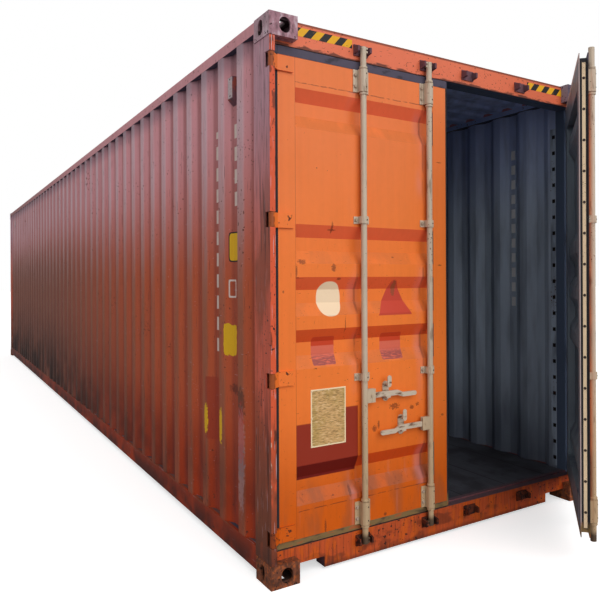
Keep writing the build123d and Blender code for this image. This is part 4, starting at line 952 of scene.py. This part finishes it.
def sill_finish(paint):
    """The sill: scraped, streaked and rusty, with dust on its upper face and painted shade behind
    the doors' face.
    """
    finish = Finish("sill_paint", paint.sill)
    finish.coat(finish.fade(finish.y, 0.1, HALF_WIDTH), paint.wall_low, 0.6)
    blotches = finish.noise(0.10, stretch=(1, 0.5, 1), detail=5, seed=9)
    finish.coat(finish.fade(blotches, 0.54, 0.62), paint.rust, 0.6)
    finish.mottle(0.12, 1)
    finish.streaks(0.30, 0.012, seed=4)
    orange = finish.noise(0.05, stretch=(1, 1, 0.4), detail=4, seed=6)
    finish.coat(finish.fade(orange, 0.50, 0.60), paint.door_low, 0.55)
    pale = finish.noise(0.012, stretch=(1, 1, 0.08), detail=3, seed=8)
    finish.coat(finish.fade(pale, 0.60, 0.70), paint.rubbed_low, 0.35)
    finish.coat(finish.fade(pale, 0.44, 0.34), paint.rust, 0.5)
    finish.rust_spots(paint.dark_rust, 0.66, 0.022, seed=5)
    upper = finish.fade(finish.facing((0, 0, 1)), 0.5, 0.8)
    finish.coat(upper, paint.dust, 0.6)
    # Painted shade behind the doors' face
    finish.coat(finish.fade(finish.x, DOOR_FACE - 0.002, DOOR_FACE - 0.006), paint.slate_shade_and_dirt, 0.7)
    finish.coat(finish.fade(finish.z, 0.045, 0.018), paint.black_dirt_and_shade, 0.5)
    finish.orange_peel(0.0006)
    return finish.done(0.55)


def rail_finish(paint):
    """Rails and the closed end's beams: as the wall, with painted shade under the top rails
    and on the inner part of the bottom rails, a painted highlight with chalky wear along the
    bottom rails' top edge, black at the foot, and the inside's colours indoors."""
    finish = painted_steel("rail_paint", paint.wall, paint.wall_faded, paint.wall_low)
    finish.coat(finish.fade(finish.x, END - 2.5, -END), paint.wall_far, 0.7)
    finish.streaks(0.15, 0.03, seed=1)
    high = finish.fade(finish.z, TOP - 0.3, TOP - 0.2)
    under = finish.fade(finish.facing((0, 0, 1)), -0.5, -0.8)
    # Painted shade under the top rails
    finish.coat(finish.both(high, under), paint.slate_shade_and_dirt)
    # Painted shade of the inside on the top rails' inner faces
    indoors = finish.fade(finish.z, ROOF_FOOT + 0.001, ROOF_FOOT - 0.001)
    finish.coat(finish.both(high, indoors, towards_middle(finish)), paint.inside_dark)
    # Painted shade on the inner part of the bottom rails and the front sill
    within = finish.both(
        finish.fade(finish.math("ABSOLUTE", finish.y), HALF_WIDTH - 0.018, HALF_WIDTH - 0.022),
        finish.fade(finish.x, 0.020 - END, 0.026 - END),
        finish.band(finish.z, 0.12, 0.50),
    )
    finish.coat(within, paint.slate_shade_and_dirt)
    # Painted highlight with chalky wear along the bottom rail's top edge
    edge = finish.band(finish.z, RAIL_LEDGE - 0.008, RAIL_LEDGE + 0.002, 0.003)
    broken = finish.fade(finish.noise(0.08, stretch=(0.3, 1, 1), detail=4, seed=6), 0.38, 0.58)
    finish.coat(finish.both(edge, broken), paint.rubbed_low, 0.6)
    finish.scratches(paint.rubbed, (0.03, 1, 1), 0.71, seed=2)
    finish.rust_spots(paint.rust, 0.67, 0.02, seed=4)
    foot_cloud = finish.noise(0.2, detail=4, seed=3)
    foot = finish.fade(finish.z, 0.25, 0.05)
    finish.coat(finish.both(foot, finish.fade(foot_cloud, 0.3, 0.6)), paint.black_dirt_and_shade, 0.8)
    finish.orange_peel()
    return finish.done(0.55)


def end_wall_finish(paint):
    """The closed end."""
    finish = painted_steel("end_wall_paint", paint.wall, paint.wall_faded, paint.wall_low, seed=5)
    finish.coat(finish.fade(finish.noise(0.6, detail=3, seed=1), 0.35, 0.7), paint.wall_far, 0.7)
    finish.streaks(0.14, 0.03, seed=2)
    finish.scratches(paint.rubbed, (1, 0.03, 1), 0.72, seed=1)
    finish.rust_spots(paint.rust, 0.69, 0.02, seed=3)
    foot_cloud = finish.noise(0.25, stretch=(1, 1, 0.5), detail=5, seed=11)
    foot = finish.fade(finish.z, 0.7, 0.16)
    finish.coat(finish.both(foot, finish.fade(foot_cloud, 0.4, 0.6)), paint.black_dirt_and_shade, 0.7)
    inside_colours(finish, outside_of(finish, (-1, 0, 0)), paint)
    finish.orange_peel()
    return finish.done(0.55)


def roof_finish(paint):
    """Chalky outside with dust pools and rust spots, and the inside's colours below."""
    finish = Finish("roof_paint", paint.roof)
    finish.mottle(0.12, 2)
    pools = finish.noise(0.3, stretch=(1, 0.3, 1), detail=5, seed=3)
    finish.coat(finish.fade(pools, 0.52, 0.66), paint.dust, 0.5)
    finish.rust_spots(paint.rust, 0.64, 0.03, seed=4)
    inside_colours(finish, outside_of(finish, (0, 0, 1)), paint)
    return finish.done(0.7)


def lock_gear_finish(name, paint, leaf):
    """Cream paint over zinc, rust-stained and chipped."""
    finish = Finish(name, paint.zinc, leaf)
    finish.coat(finish.fade(finish.z, 1.3, 0.4), paint.zinc_low)
    finish.mottle(0.10, 2)
    finish.streaks(0.10, 0.008, seed=3)
    finish.rust_spots(paint.rust, 0.70, 0.010, seed=4)
    stain = finish.noise(0.03, stretch=(1, 1, 0.2), detail=4, seed=5)
    finish.coat(finish.fade(stain, 0.60, 0.72), paint.dust, 0.6)
    foot = finish.fade(finish.z, 0.165, 0.125)
    finish.coat(foot, paint.dark_rust, 0.85)
    finish.orange_peel(0.0002)
    return finish.done(0.45)


def handle_finish(name, paint, leaf):
    """A handle: mottled cream paint with worn patches of dust and rust."""
    finish = Finish(name, paint.zinc, leaf)
    finish.mottle(0.12, 4)
    worn = finish.noise(0.02, stretch=(0.4, 1, 1), detail=5, seed=2)
    finish.coat(finish.fade(worn, 0.50, 0.62), paint.dust, 0.6)
    finish.coat(finish.fade(worn, 0.60, 0.66), paint.rust, 0.8)
    finish.orange_peel(0.0002)
    return finish.done(0.42)


def keeper_finish(paint):
    """Rusty forged steel."""
    finish = Finish("keeper_steel", paint.rust)
    flakes = finish.noise(0.03, detail=5, seed=2)
    finish.coat(finish.fade(flakes, 0.45, 0.58), paint.dark_rust)
    finish.coat(finish.fade(flakes, 0.62, 0.66), paint.sill, 0.6)
    finish.coat(finish.fade(finish.z, 1.0, 2.0), paint.casting_high, 0.7)
    finish.raise_by(flakes, 0.0015)
    return finish.done(0.75)


def gasket_finish(name, paint, leaf):
    """Rubber, slate along the top, dusty along the foot, with a paler inner lip."""
    finish = Finish(name, paint.rubber_dark, leaf)
    lip = finish.fade(finish.y, FACE_DEPTH + 0.007, FACE_DEPTH + 0.006)
    top = finish.fade(finish.z, LEAF_HIGH.z - 0.02, LEAF_HIGH.z)
    finish.coat(finish.both(lip, top), paint.rubber)
    inner_lip = FACE_DEPTH + LEAF_THICKNESS - 0.006
    finish.coat(finish.fade(finish.y, inner_lip, inner_lip + 0.001), paint.rubber_pale)
    finish.mottle(0.15, 1)
    dust = finish.noise(0.035, stretch=(0.35, 1, 1), detail=5, seed=2)
    ledge = finish.fade(finish.z, 0.26, 0.22)
    finish.coat(ledge, paint.ledge_dust, 0.9)
    finish.coat(finish.both(ledge, finish.fade(dust, 0.50, 0.64)), paint.rubber_dark, 0.6)
    finish.coat(finish.both(ledge, finish.fade(dust, 0.42, 0.34)), paint.sill, 0.5)
    return finish.done(0.7)


def floor_finish(paint):
    """Plywood under years of dirt, with the joints of its boards and rows of screws."""
    finish = Finish("floor_plywood", paint.floor)
    grain = finish.noise(0.02, stretch=(0.04, 1, 1), detail=4, seed=1)
    finish.shade(grain, 0.25)
    finish.coat(finish.fade(finish.noise(0.3, detail=4, seed=2), 0.45, 0.6), paint.black_dirt_and_shade, 0.5)
    board = finish.share(finish.y, 0.385)
    finish.coat(finish.band(board, 0.490, 0.510, 0.004), paint.black_dirt_and_shade, 0.9)
    along = finish.band(finish.share(finish.x, 0.400), 0.488, 0.512, 0.006)
    across = finish.band(finish.share(finish.y, 0.128), 0.46, 0.54, 0.02)
    finish.coat(finish.both(along, across), paint.dark_rust, 0.9)
    finish.raise_by(grain, 0.0004)
    return finish.done(0.6)


def underframe_finish(paint):
    """Black underbody coat with rust."""
    finish = Finish("underframe_paint", paint.black_dirt_and_shade)
    finish.mottle(0.2, 1)
    finish.rust_spots(paint.rust, 0.62, 0.03, seed=2)
    return finish.done(0.75)


def steel_finish(name, base, paint):
    """Small steel parts: pins, bolts and rivets."""
    finish = Finish(name, base)
    finish.mottle(0.15, 3)
    finish.rust_spots(paint.rust, 0.66, 0.006, seed=2)
    return finish.done(0.55)


def vent_finish(paint):
    """The ventilators' dark plastic boxes, painted over in places."""
    finish = Finish("ventilator_paint", paint.ventilator)
    finish.mottle(0.15, 3)
    finish.coat(finish.fade(finish.noise(0.04, detail=3, seed=1), 0.5, 0.6), paint.wall, 0.5)
    return finish.done(0.6)


class CONTAINER_OT_paint_walls(Operator):
    """Paints the side walls, the closed end, the rails, the roof and the floor"""

    bl_idname = "container.paint_walls"
    bl_label = "Paint walls, roof and floor"

    def execute(self, context):
        paint = context.scene.container_paint
        marks = context.scene.container_marks
        for side in WORDS:
            dress(f"{side}_side_wall", side_wall_finish(side, paint, marks))
        rails = rail_finish(paint)
        for node in ("top_side_rails", "bottom_side_rails", "front_header", "front_sill"):
            dress(node, rails)
        dress("front_wall", end_wall_finish(paint))
        dress("roof", roof_finish(paint))
        dress("floor_panels", floor_finish(paint))
        dress("cross_members", underframe_finish(paint))
        dress("ventilators", vent_finish(paint))
        return {"FINISHED"}


class CONTAINER_OT_paint_ends(Operator):
    """Paints the castings, the posts, the header, the sill and the cam keepers"""

    bl_idname = "container.paint_ends"
    bl_label = "Paint posts, castings and beams"

    def execute(self, context):
        paint = context.scene.container_paint
        castings = casting_finish(paint)
        dress("bottom_corner_castings", castings)
        dress("top_corner_castings", castings)
        posts = post_finish(paint)
        dress("door_corner_posts", posts)
        dress("front_corner_posts", posts)
        dress("door_header", header_finish(paint))
        dress("door_sill", sill_finish(paint))
        dress("cam_keepers", keeper_finish(paint))
        dress("hinge_pins", steel_finish("pin_steel", paint.pin, paint))
        return {"FINISHED"}


class CONTAINER_OT_paint_doors(Operator):
    """Paints the two door leaves with their hinges, gaskets and lock gear"""

    bl_idname = "container.paint_doors"
    bl_label = "Paint doors and lock gear"

    def execute(self, context):
        paint = context.scene.container_paint
        marks = context.scene.container_marks
        for word in WORDS:
            dress(f"{word}_door_panel", door_panel_finish(word, paint, marks))
            dress(f"{word}_door_frame", door_frame_finish(word, paint))
            dress(f"{word}_hinge_blades", hinge_finish(word, paint))
            dress(f"{word}_door_gasket", gasket_finish(f"{word}_gasket_rubber", paint, word))
            gear = lock_gear_finish(f"{word}_lock_gear", paint, word)
            handles = handle_finish(f"{word}_handle_paint", paint, word)
            dress(f"{word}_rod_guides", gear)
            dress(f"{word}_handle_retainers", handles)
            for place in PLACES:
                dress(f"{word}_{place}_lock_rod", gear)
                dress(f"{word}_{place}_handle", handles)
                dress(f"{word}_{place}_catch", handles)
        return {"FINISHED"}


def tape_finish(marks, word, start, stripe):
    """Yellow and black stripes that lean across the header's face, mottled and dirty."""
    finish = Finish(f"{word}_tape", marks.tape_yellow)
    lean = marks.tape_slant / marks.tape_height
    along = finish.math("SUBTRACT", finish.y, start)
    height = finish.math("SUBTRACT", finish.z, TAPE_BOTTOM + marks.tape_height / 2)
    slanted = finish.math("MULTIPLY_ADD", height, -lean, along)
    step = finish.share(slanted, 2 * stripe)
    finish.coat(finish.band(step, 0.5, 1.0, 0.012), marks.tape_black)
    finish.mottle(0.10, 2)
    dirt = finish.noise(0.02, detail=4, seed=3)
    finish.coat(finish.fade(dirt, 0.62, 0.70), marks.tape_dirt, 0.6)
    return finish.done(0.45)


def plate_finish(marks):
    """An aged metal plate: tan and blotchy, with nothing on it; the plate operator lays on its pale
    border.
    """
    finish = Finish("data_plate", marks.plate, "left")
    cloud = finish.noise(0.09, stretch=(1, 1, 0.6), detail=4, seed=4)
    finish.coat(finish.fade(cloud, 0.42, 0.66), marks.plate_stain, 0.55)
    lines = finish.noise(0.0045, stretch=(0.20, 1, 1), detail=4, seed=2)
    finish.coat(finish.fade(lines, 0.50, 0.66), marks.plate_dark, 0.65)
    finish.coat(finish.fade(lines, 0.44, 0.34), marks.plate_edge, 0.45)
    finish.raise_by(lines, 0.0003)
    return finish


class CONTAINER_OT_tapes(Operator):
    """Sticks the two striped tapes on the header"""

    bl_idname = "container.tapes"
    bl_label = "Edge tapes"

    def execute(self, context):
        fittings = context.scene.container_fittings
        marks = context.scene.container_marks
        sheet = fittings.sheet_thickness
        for word, (start, end) in TAPE_ENDS.items():
            material = tape_finish(marks, word, start, (end - start) / TAPE_STRIPES)
            low = (DOOR_FACE, start, TAPE_BOTTOM)
            high = (DOOR_FACE + sheet, end, TAPE_BOTTOM + marks.tape_height)
            name = f"{word}_edge_tape"
            finish_block(name, low, high, sheet / 3, "frame", material)
        return {"FINISHED"}


class CONTAINER_OT_plate(Operator):
    """Puts the bare data plate on the left door"""

    bl_idname = "container.plate"
    bl_label = "Data plate"

    def execute(self, context):
        fittings = context.scene.container_fittings
        marks = context.scene.container_marks
        low = Vector((PLATE_LOW[0], FACE_DEPTH - fittings.sheet_thickness, PLATE_LOW[1]))
        high = Vector((PLATE_HIGH[0], FACE_DEPTH, PLATE_HIGH[1]))
        finish = plate_finish(marks)
        middle = (low + high) / 2
        half = (high - low) / 2
        inner = finish.patch(
            (middle.x, middle.z),
            (half.x - marks.plate_border, half.z - marks.plate_border), power=30, soft=0.03,
        )
        border = finish.math("SUBTRACT", 1, inner)
        finish.coat(border, marks.plate_edge)
        bm = bmesh.new()
        add_block(bm, low, high, fittings.sheet_thickness / 3, leaf_matrix("left"))
        finish_piece("data_plate", bm, "left_door", finish.done(0.4))
        return {"FINISHED"}


class CONTAINER_OT_bolts(Operator):
    """Bolts the rod guides to the leaves and rivets their saddles"""

    bl_idname = "container.bolts"
    bl_label = "Guide bolts"

    def execute(self, context):
        fittings = context.scene.container_fittings
        paint = context.scene.container_paint
        pale = steel_finish("guide_bolts", fittings.bolt, paint)
        dark = steel_finish("guide_rivets", fittings.rivet, paint)
        arm = GUIDE_WIDTH / 2 - fittings.washer_radius - 0.001
        depth = FACE_DEPTH - GUIDE_THICKNESS
        facet = Matrix.Rotation(SADDLE_FACET, 4, "Z") @ Matrix.Rotation(pi / 2, 4, "X")
        facet = facet @ Matrix.Translation((0, 0, SADDLE_RADIUS))
        for word in WORDS:
            matrix = leaf_matrix(word)
            bolts, rivets = bmesh.new(), bmesh.new()
            for place in PLACES:
                rod = matrix.inverted() @ Vector(joint(f"{word}_{place}_rod_turn")["pos_m"])
                for height in self.rows(END_GUIDE_HEIGHT / 4):
                    seat = leaf_seat(word, rod.x - arm, depth, height)
                    add_bolt(bolts, seat, fittings.washer_radius, fittings.washer_height, 16)
                    seat = seat @ Matrix.Translation((0, 0, fittings.washer_height))
                    add_bolt(bolts, seat, fittings.bolt_radius, fittings.bolt_height)
                    seat = leaf_seat(word, rod.x + arm, depth, height)
                    add_bolt(rivets, seat, fittings.rivet_radius, RIVET_HEIGHT, 16)
                for height in self.rows(END_GUIDE_HEIGHT * 0.3):
                    seat = matrix @ Matrix.Translation((rod.x, rod.y, height)) @ facet
                    add_bolt(rivets, seat, fittings.rivet_radius * 0.75, FLAT_HEAD, 12)
            finish_piece(f"{word}_guide_bolts", bolts, f"{word}_door", pale)
            finish_piece(f"{word}_guide_rivets", rivets, f"{word}_door", dark)
        return {"FINISHED"}

    def rows(self, spread):
        """Heights on the guides: two on each tall one and one on each clip."""
        tall = [height + turn * spread for height in GUIDE_HEIGHTS for turn in (-1, 1)]
        return (*tall, *CLIP_HEIGHTS)


class CONTAINER_OT_plate_rivets(Operator):
    """Rivets the data plate at its corners and the middle of its sides"""

    bl_idname = "container.plate_rivets"
    bl_label = "Plate rivets"

    def execute(self, context):
        fittings = context.scene.container_fittings
        paint = context.scene.container_paint
        material = steel_finish("plate_rivets", fittings.plate_rivet, paint)
        bm = bmesh.new()
        depth = FACE_DEPTH - fittings.sheet_thickness
        for across in PLATE_COLUMNS:
            for height in PLATE_ROWS:
                if (across, height) != (PLATE_COLUMNS[1], PLATE_ROWS[1]):
                    seat = leaf_seat("left", across, depth, height)
                    add_bolt(bm, seat, fittings.rivet_radius * 0.8, RIVET_HEIGHT, 12)
        finish_piece("plate_rivets", bm, "left_door", material)
        return {"FINISHED"}


class CONTAINER_OT_edge_strips(Operator):
    """Lays a riveted strip along the free edge of each leaf, between the gasket's lips"""

    bl_idname = "container.edge_strips"
    bl_label = "Edge strips"

    def execute(self, context):
        fittings = context.scene.container_fittings
        paint = context.scene.container_paint
        cream = steel_finish("edge_strip_paint", fittings.strip, paint)
        dark = steel_finish("edge_rivets", fittings.edge_rivet, paint)
        thickness = fittings.strip_thickness
        web = LEAF_END + GASKET_WEB_SET
        low, high = LEAF_LOW.z + 0.02, LEAF_HIGH.z - 0.02
        centre = FACE_DEPTH + LEAF_THICKNESS / 2 - 0.001
        count = int((high - low) / fittings.rivet_pitch)
        for word in WORDS:
            finish_block(
                f"{word}_edge_strip", (web, centre - STRIP_HALF_WIDTH, low),
                (web + thickness, centre + STRIP_HALF_WIDTH, high), thickness / 4,
                f"{word}_door", cream, leaf_matrix(word),
            )
            rivets = bmesh.new()
            for index in range(count):
                height = low + (index + 0.5) * (high - low) / count
                seat = leaf_seat(word, web + thickness, centre, height, "Y")
                add_bolt(rivets, seat, fittings.edge_rivet_radius, FLAT_HEAD, 12)
            finish_piece(f"{word}_edge_rivets", rivets, f"{word}_door", dark)
        return {"FINISHED"}


class CONTAINER_OT_top_lips(Operator):
    """Lays the gasket's soft top lip over the upper edge of each leaf"""

    bl_idname = "container.top_lips"
    bl_label = "Gasket top lips"

    def execute(self, context):
        fittings = context.scene.container_fittings
        paint = context.scene.container_paint
        lap = LEAF_HIGH.z - fittings.lip_overlap
        thickness = fittings.strip_thickness
        for word in WORDS:
            finish = Finish(f"{word}_lip_rubber", paint.rubber, word)
            finish.mottle(0.2, 1)
            worn = finish.noise(0.03, stretch=(0.4, 1, 1), detail=4, seed=2)
            finish.coat(finish.fade(worn, 0.55, 0.66), paint.rubber_dark, 0.6)
            finish_block(
                f"{word}_top_lip", (LEAF_START, FACE_DEPTH - thickness, lap),
                (LEAF_END, FACE_DEPTH, GASKET_TOP), thickness / 4,
                f"{word}_door", finish.done(0.7), leaf_matrix(word),
            )
        return {"FINISHED"}


class CONTAINER_OT_rod_collars(Operator):
    """Puts collars on the lock rods, above and below each tall guide"""

    bl_idname = "container.rod_collars"
    bl_label = "Rod collars"

    def execute(self, context):
        fittings = context.scene.container_fittings
        paint = context.scene.container_paint
        height = fittings.collar_height
        reach = END_GUIDE_HEIGHT / 2 + fittings.collar_gap
        for word in WORDS:
            gear = lock_gear_finish(f"{word}_collars", paint, word)
            for place in PLACES:
                rod = Vector(joint(f"{word}_{place}_rod_turn")["pos_m"])
                bm = bmesh.new()
                for centre in GUIDE_HEIGHTS:
                    for foot in (centre - reach - height, centre + reach):
                        seat = Matrix.Translation((rod.x, rod.y, foot))
                        add_ring(bm, seat, ROD_RADIUS - 0.0005, fittings.collar_radius, height)
                name = f"{word}_{place}_rod_collars"
                finish_piece(name, bm, f"{word}_{place}_rod", gear)
        return {"FINISHED"}


class CONTAINER_OT_lashing_bars(Operator):
    """Sets a slotted lashing bar on each side wall beside the door posts, with a dark sheet of
    painted shadow behind its slots
    """

    bl_idname = "container.lashing_bars"
    bl_label = "Lashing bars"

    def execute(self, context):
        fittings = context.scene.container_fittings
        paint = context.scene.container_paint
        finish = Finish("lashing_bar_paint", paint.inside)
        stain = finish.noise(0.06, stretch=(1, 1, 0.2), detail=4)
        finish.coat(finish.fade(stain, 0.4, 0.7), paint.slate_shade_and_dirt, 0.6)
        finish.mottle(0.12, 2)
        finish.rust_spots(paint.rust, 0.68, 0.012, seed=3)
        bars_paint = finish.done(0.5)
        dark = steel_finish("lashing_shadow", paint.black_dirt_and_shade, paint)
        start, end = LASHING_SIDES
        low, high = LASHING_ENDS
        count = int((high - low) / fittings.slot_pitch)
        for word, side in SIGNS.items():
            wall = HALF_WIDTH - INNER_FLAT_SET
            faces = sorted((side * wall, side * (wall - fittings.lashing_thickness)))
            bm = bmesh.new()
            for left in (start, end - LASHING_STILE):
                add_block(bm, (left, faces[0], low), (left + LASHING_STILE, faces[1], high), 0.001)
            for index in range(count + 1):
                middle = low + index * (high - low) / count
                foot = max(low, middle - LASHING_HALF_RUNG)
                head = min(high, middle + LASHING_HALF_RUNG)
                corner = (end - 0.013, faces[1], head)
                add_block(bm, (start + 0.013, faces[0], foot), corner, 0.0005)
            finish_piece(f"{word}_lashing_bar", bm, "frame", bars_paint)
            # A dark sheet of painted shadow behind the slots
            shadow_sheet = bmesh.new()
            back = sorted((side * wall, side * (wall - fittings.sheet_thickness)))
            add_block(shadow_sheet, (start + 0.012, back[0], low), (end - 0.012, back[1], high))
            finish_piece(f"{word}_lashing_shadow_sheet", shadow_sheet, "frame", dark)
        return {"FINISHED"}


class CONTAINER_OT_vent_covers(Operator):
    """Screws a pale cover on the front of each ventilator"""

    bl_idname = "container.vent_covers"
    bl_label = "Ventilator covers"

    def execute(self, context):
        fittings = context.scene.container_fittings
        paint = context.scene.container_paint
        finish = Finish("vent_cover_paint", fittings.cover)
        finish.mottle(0.12, 5)
        finish.rust_spots(paint.rust, 0.66, 0.01, seed=1)
        cover_paint = finish.done(0.5)
        dark = steel_finish("vent_screws", fittings.screw, paint)
        vent_low, vent_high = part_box("ventilators")
        low, high = vent_low.z + 0.036, vent_high.z - 0.002
        for word, side in SIGNS.items():
            covers, screws = bmesh.new(), bmesh.new()
            out = side * (vent_high.y + FLAT_HEAD)
            faces = sorted((side * vent_high.y, out))
            for edge in (vent_high.x - VENT_WIDTH, vent_low.x):
                corner = (edge + VENT_WIDTH - 0.004, faces[1], high)
                add_block(covers, (edge + 0.004, faces[0], low), corner, 0.0004)
                for height in (low + 0.012, high - 0.012):
                    foot = Matrix.Translation((edge + VENT_WIDTH / 2, out, height))
                    turned = Matrix.Rotation(-side * pi / 2, 4, "X")
                    add_bolt(screws, foot @ turned, 0.005, FLAT_HEAD, 12)
            finish_piece(f"{word}_vent_covers", covers, "frame", cover_paint)
            finish_piece(f"{word}_vent_screws", screws, "frame", dark)
        return {"FINISHED"}


class CONTAINER_OT_stage(Operator):
    """Sets the pale floor, the soft lights and the camera"""

    bl_idname = "container.stage"
    bl_label = "Stage"

    def execute(self, context):
        stage = context.scene.container_stage
        self.lay_floor(stage)
        self.light_sky(context, stage)
        self.hang_sun("key_light", KEY_TOWARDS, stage.key, KEY_WIDTH)
        self.hang_sun("fill_light", FILL_TOWARDS, stage.fill, FILL_WIDTH)
        self.place_camera(context, stage)
        context.scene.view_settings.view_transform = "Standard"
        return {"FINISHED"}

    def lay_floor(self, stage):
        bm = bmesh.new()
        bmesh.ops.create_grid(bm, x_segments=1, y_segments=1, size=stage.floor_size / 2)
        mesh = bpy.data.meshes.new("floor")
        bm.to_mesh(mesh)
        bm.free()
        mesh.materials.append(self.floor_material())
        floor = bpy.data.objects.new("floor", mesh)
        bpy.context.scene.collection.objects.link(floor)

    def floor_material(self):
        """White to the camera, and a darker ground for the light that it throws back."""
        material = bpy.data.materials.new("studio_floor")
        material.use_nodes = True
        nodes = material.node_tree.nodes
        links = material.node_tree.links
        nodes.remove(nodes["Principled BSDF"])
        ground = nodes.new("ShaderNodeBsdfDiffuse")
        ground.inputs["Color"].default_value = GROUND_SHADE
        pale = nodes.new("ShaderNodeBsdfDiffuse")
        pale.inputs["Color"].default_value = FLOOR_WHITE
        glow = nodes.new("ShaderNodeEmission")
        glow.inputs["Strength"].default_value = FLOOR_GLOW
        lit = nodes.new("ShaderNodeAddShader")
        links.new(pale.outputs[0], lit.inputs[0])
        links.new(glow.outputs[0], lit.inputs[1])
        self.camera_sees(material.node_tree, ground, lit, nodes["Material Output"])
        return material

    def light_sky(self, context, stage):
        """A white backdrop that lights the scene less brightly than it looks."""
        world = bpy.data.worlds.new("sky")
        world.use_nodes = True
        nodes = world.node_tree.nodes
        light = nodes["Background"]
        light.inputs["Strength"].default_value = stage.ambient
        light.inputs["Color"].default_value = WHITE
        seen = nodes.new("ShaderNodeBackground")
        seen.inputs["Color"].default_value = WHITE
        self.camera_sees(world.node_tree, light, seen, nodes["World Output"])
        context.scene.world = world

    def camera_sees(self, tree, lighting, seen, output):
        """Gives the camera one shader and the light that bounces another."""
        path = tree.nodes.new("ShaderNodeLightPath")
        mixed = tree.nodes.new("ShaderNodeMixShader")
        tree.links.new(path.outputs["Is Camera Ray"], mixed.inputs[0])
        tree.links.new(lighting.outputs[0], mixed.inputs[1])
        tree.links.new(seen.outputs[0], mixed.inputs[2])
        tree.links.new(mixed.outputs[0], output.inputs["Surface"])

    def hang_sun(self, name, towards, strength, softness):
        """A wide soft light that shines from a direction."""
        sun = bpy.data.lights.new(name, "SUN")
        sun.energy = strength
        sun.angle = softness
        lamp = bpy.data.objects.new(name, sun)
        lamp.rotation_mode = "QUATERNION"
        lamp.rotation_quaternion = Vector(towards).to_track_quat("Z", "Y")
        bpy.context.scene.collection.objects.link(lamp)

    def place_camera(self, context, stage):
        camera = bpy.data.cameras.new("camera")
        camera.sensor_width = 36
        camera.lens = stage.focal_pixels / stage.image_pixels * camera.sensor_width
        camera.shift_x = 0.5 - stage.axis_across / stage.image_pixels
        camera.shift_y = stage.axis_down / stage.image_pixels - 0.5
        camera.clip_end = stage.floor_size
        holder = bpy.data.objects.new("camera", camera)
        level = Matrix.Rotation(stage.camera_yaw - pi / 2, 4, "Z") @ Matrix.Rotation(pi / 2, 4, "X")
        roll = Matrix.Rotation(stage.camera_roll, 4, "Z")
        holder.matrix_world = Matrix.Translation(stage.camera_place) @ level @ roll
        context.scene.collection.objects.link(holder)
        context.scene.camera = holder


class CONTAINER_PT_tools(Panel):
    """Lists the container's operators in the sidebar"""

    bl_label = "Container"
    bl_idname = "CONTAINER_PT_tools"
    bl_space_type = "VIEW_3D"
    bl_region_type = "UI"
    bl_category = "Container"

    def draw(self, context):
        for operator in OPERATORS:
            self.layout.operator(operator.bl_idname)


GROUPS = {
    "container_paint": ContainerPaint,
    "container_marks": ContainerMarks,
    "container_fittings": ContainerFittings,
    "container_stage": ContainerStage,
}
OPERATORS = (
    CONTAINER_OT_stage,
    CONTAINER_OT_paint_walls,
    CONTAINER_OT_paint_ends,
    CONTAINER_OT_paint_doors,
    CONTAINER_OT_tapes,
    CONTAINER_OT_plate,
    CONTAINER_OT_bolts,
    CONTAINER_OT_plate_rivets,
    CONTAINER_OT_edge_strips,
    CONTAINER_OT_top_lips,
    CONTAINER_OT_rod_collars,
    CONTAINER_OT_lashing_bars,
    CONTAINER_OT_vent_covers,
)


def register():
    for name, group in GROUPS.items():
        bpy.utils.register_class(group)
        setattr(bpy.types.Scene, name, PointerProperty(type=group))
    for operator in OPERATORS:
        bpy.utils.register_class(operator)
    bpy.utils.register_class(CONTAINER_PT_tools)


def unregister():
    bpy.utils.unregister_class(CONTAINER_PT_tools)
    for operator in reversed(OPERATORS):
        bpy.utils.unregister_class(operator)
    for name, group in reversed(GROUPS.items()):
        delattr(bpy.types.Scene, name)
        bpy.utils.unregister_class(group)


def main():
    """Dresses the container."""
    register()
    bpy.ops.container.stage()
    bpy.ops.container.paint_walls()
    bpy.ops.container.paint_ends()
    bpy.ops.container.paint_doors()
    bpy.ops.container.tapes()
    bpy.ops.container.plate()
    bpy.ops.container.bolts()
    bpy.ops.container.plate_rivets()
    bpy.ops.container.edge_strips()
    bpy.ops.container.top_lips()
    bpy.ops.container.rod_collars()
    bpy.ops.container.lashing_bars()
    bpy.ops.container.vent_covers()


if __name__ == "__main__":
    main()
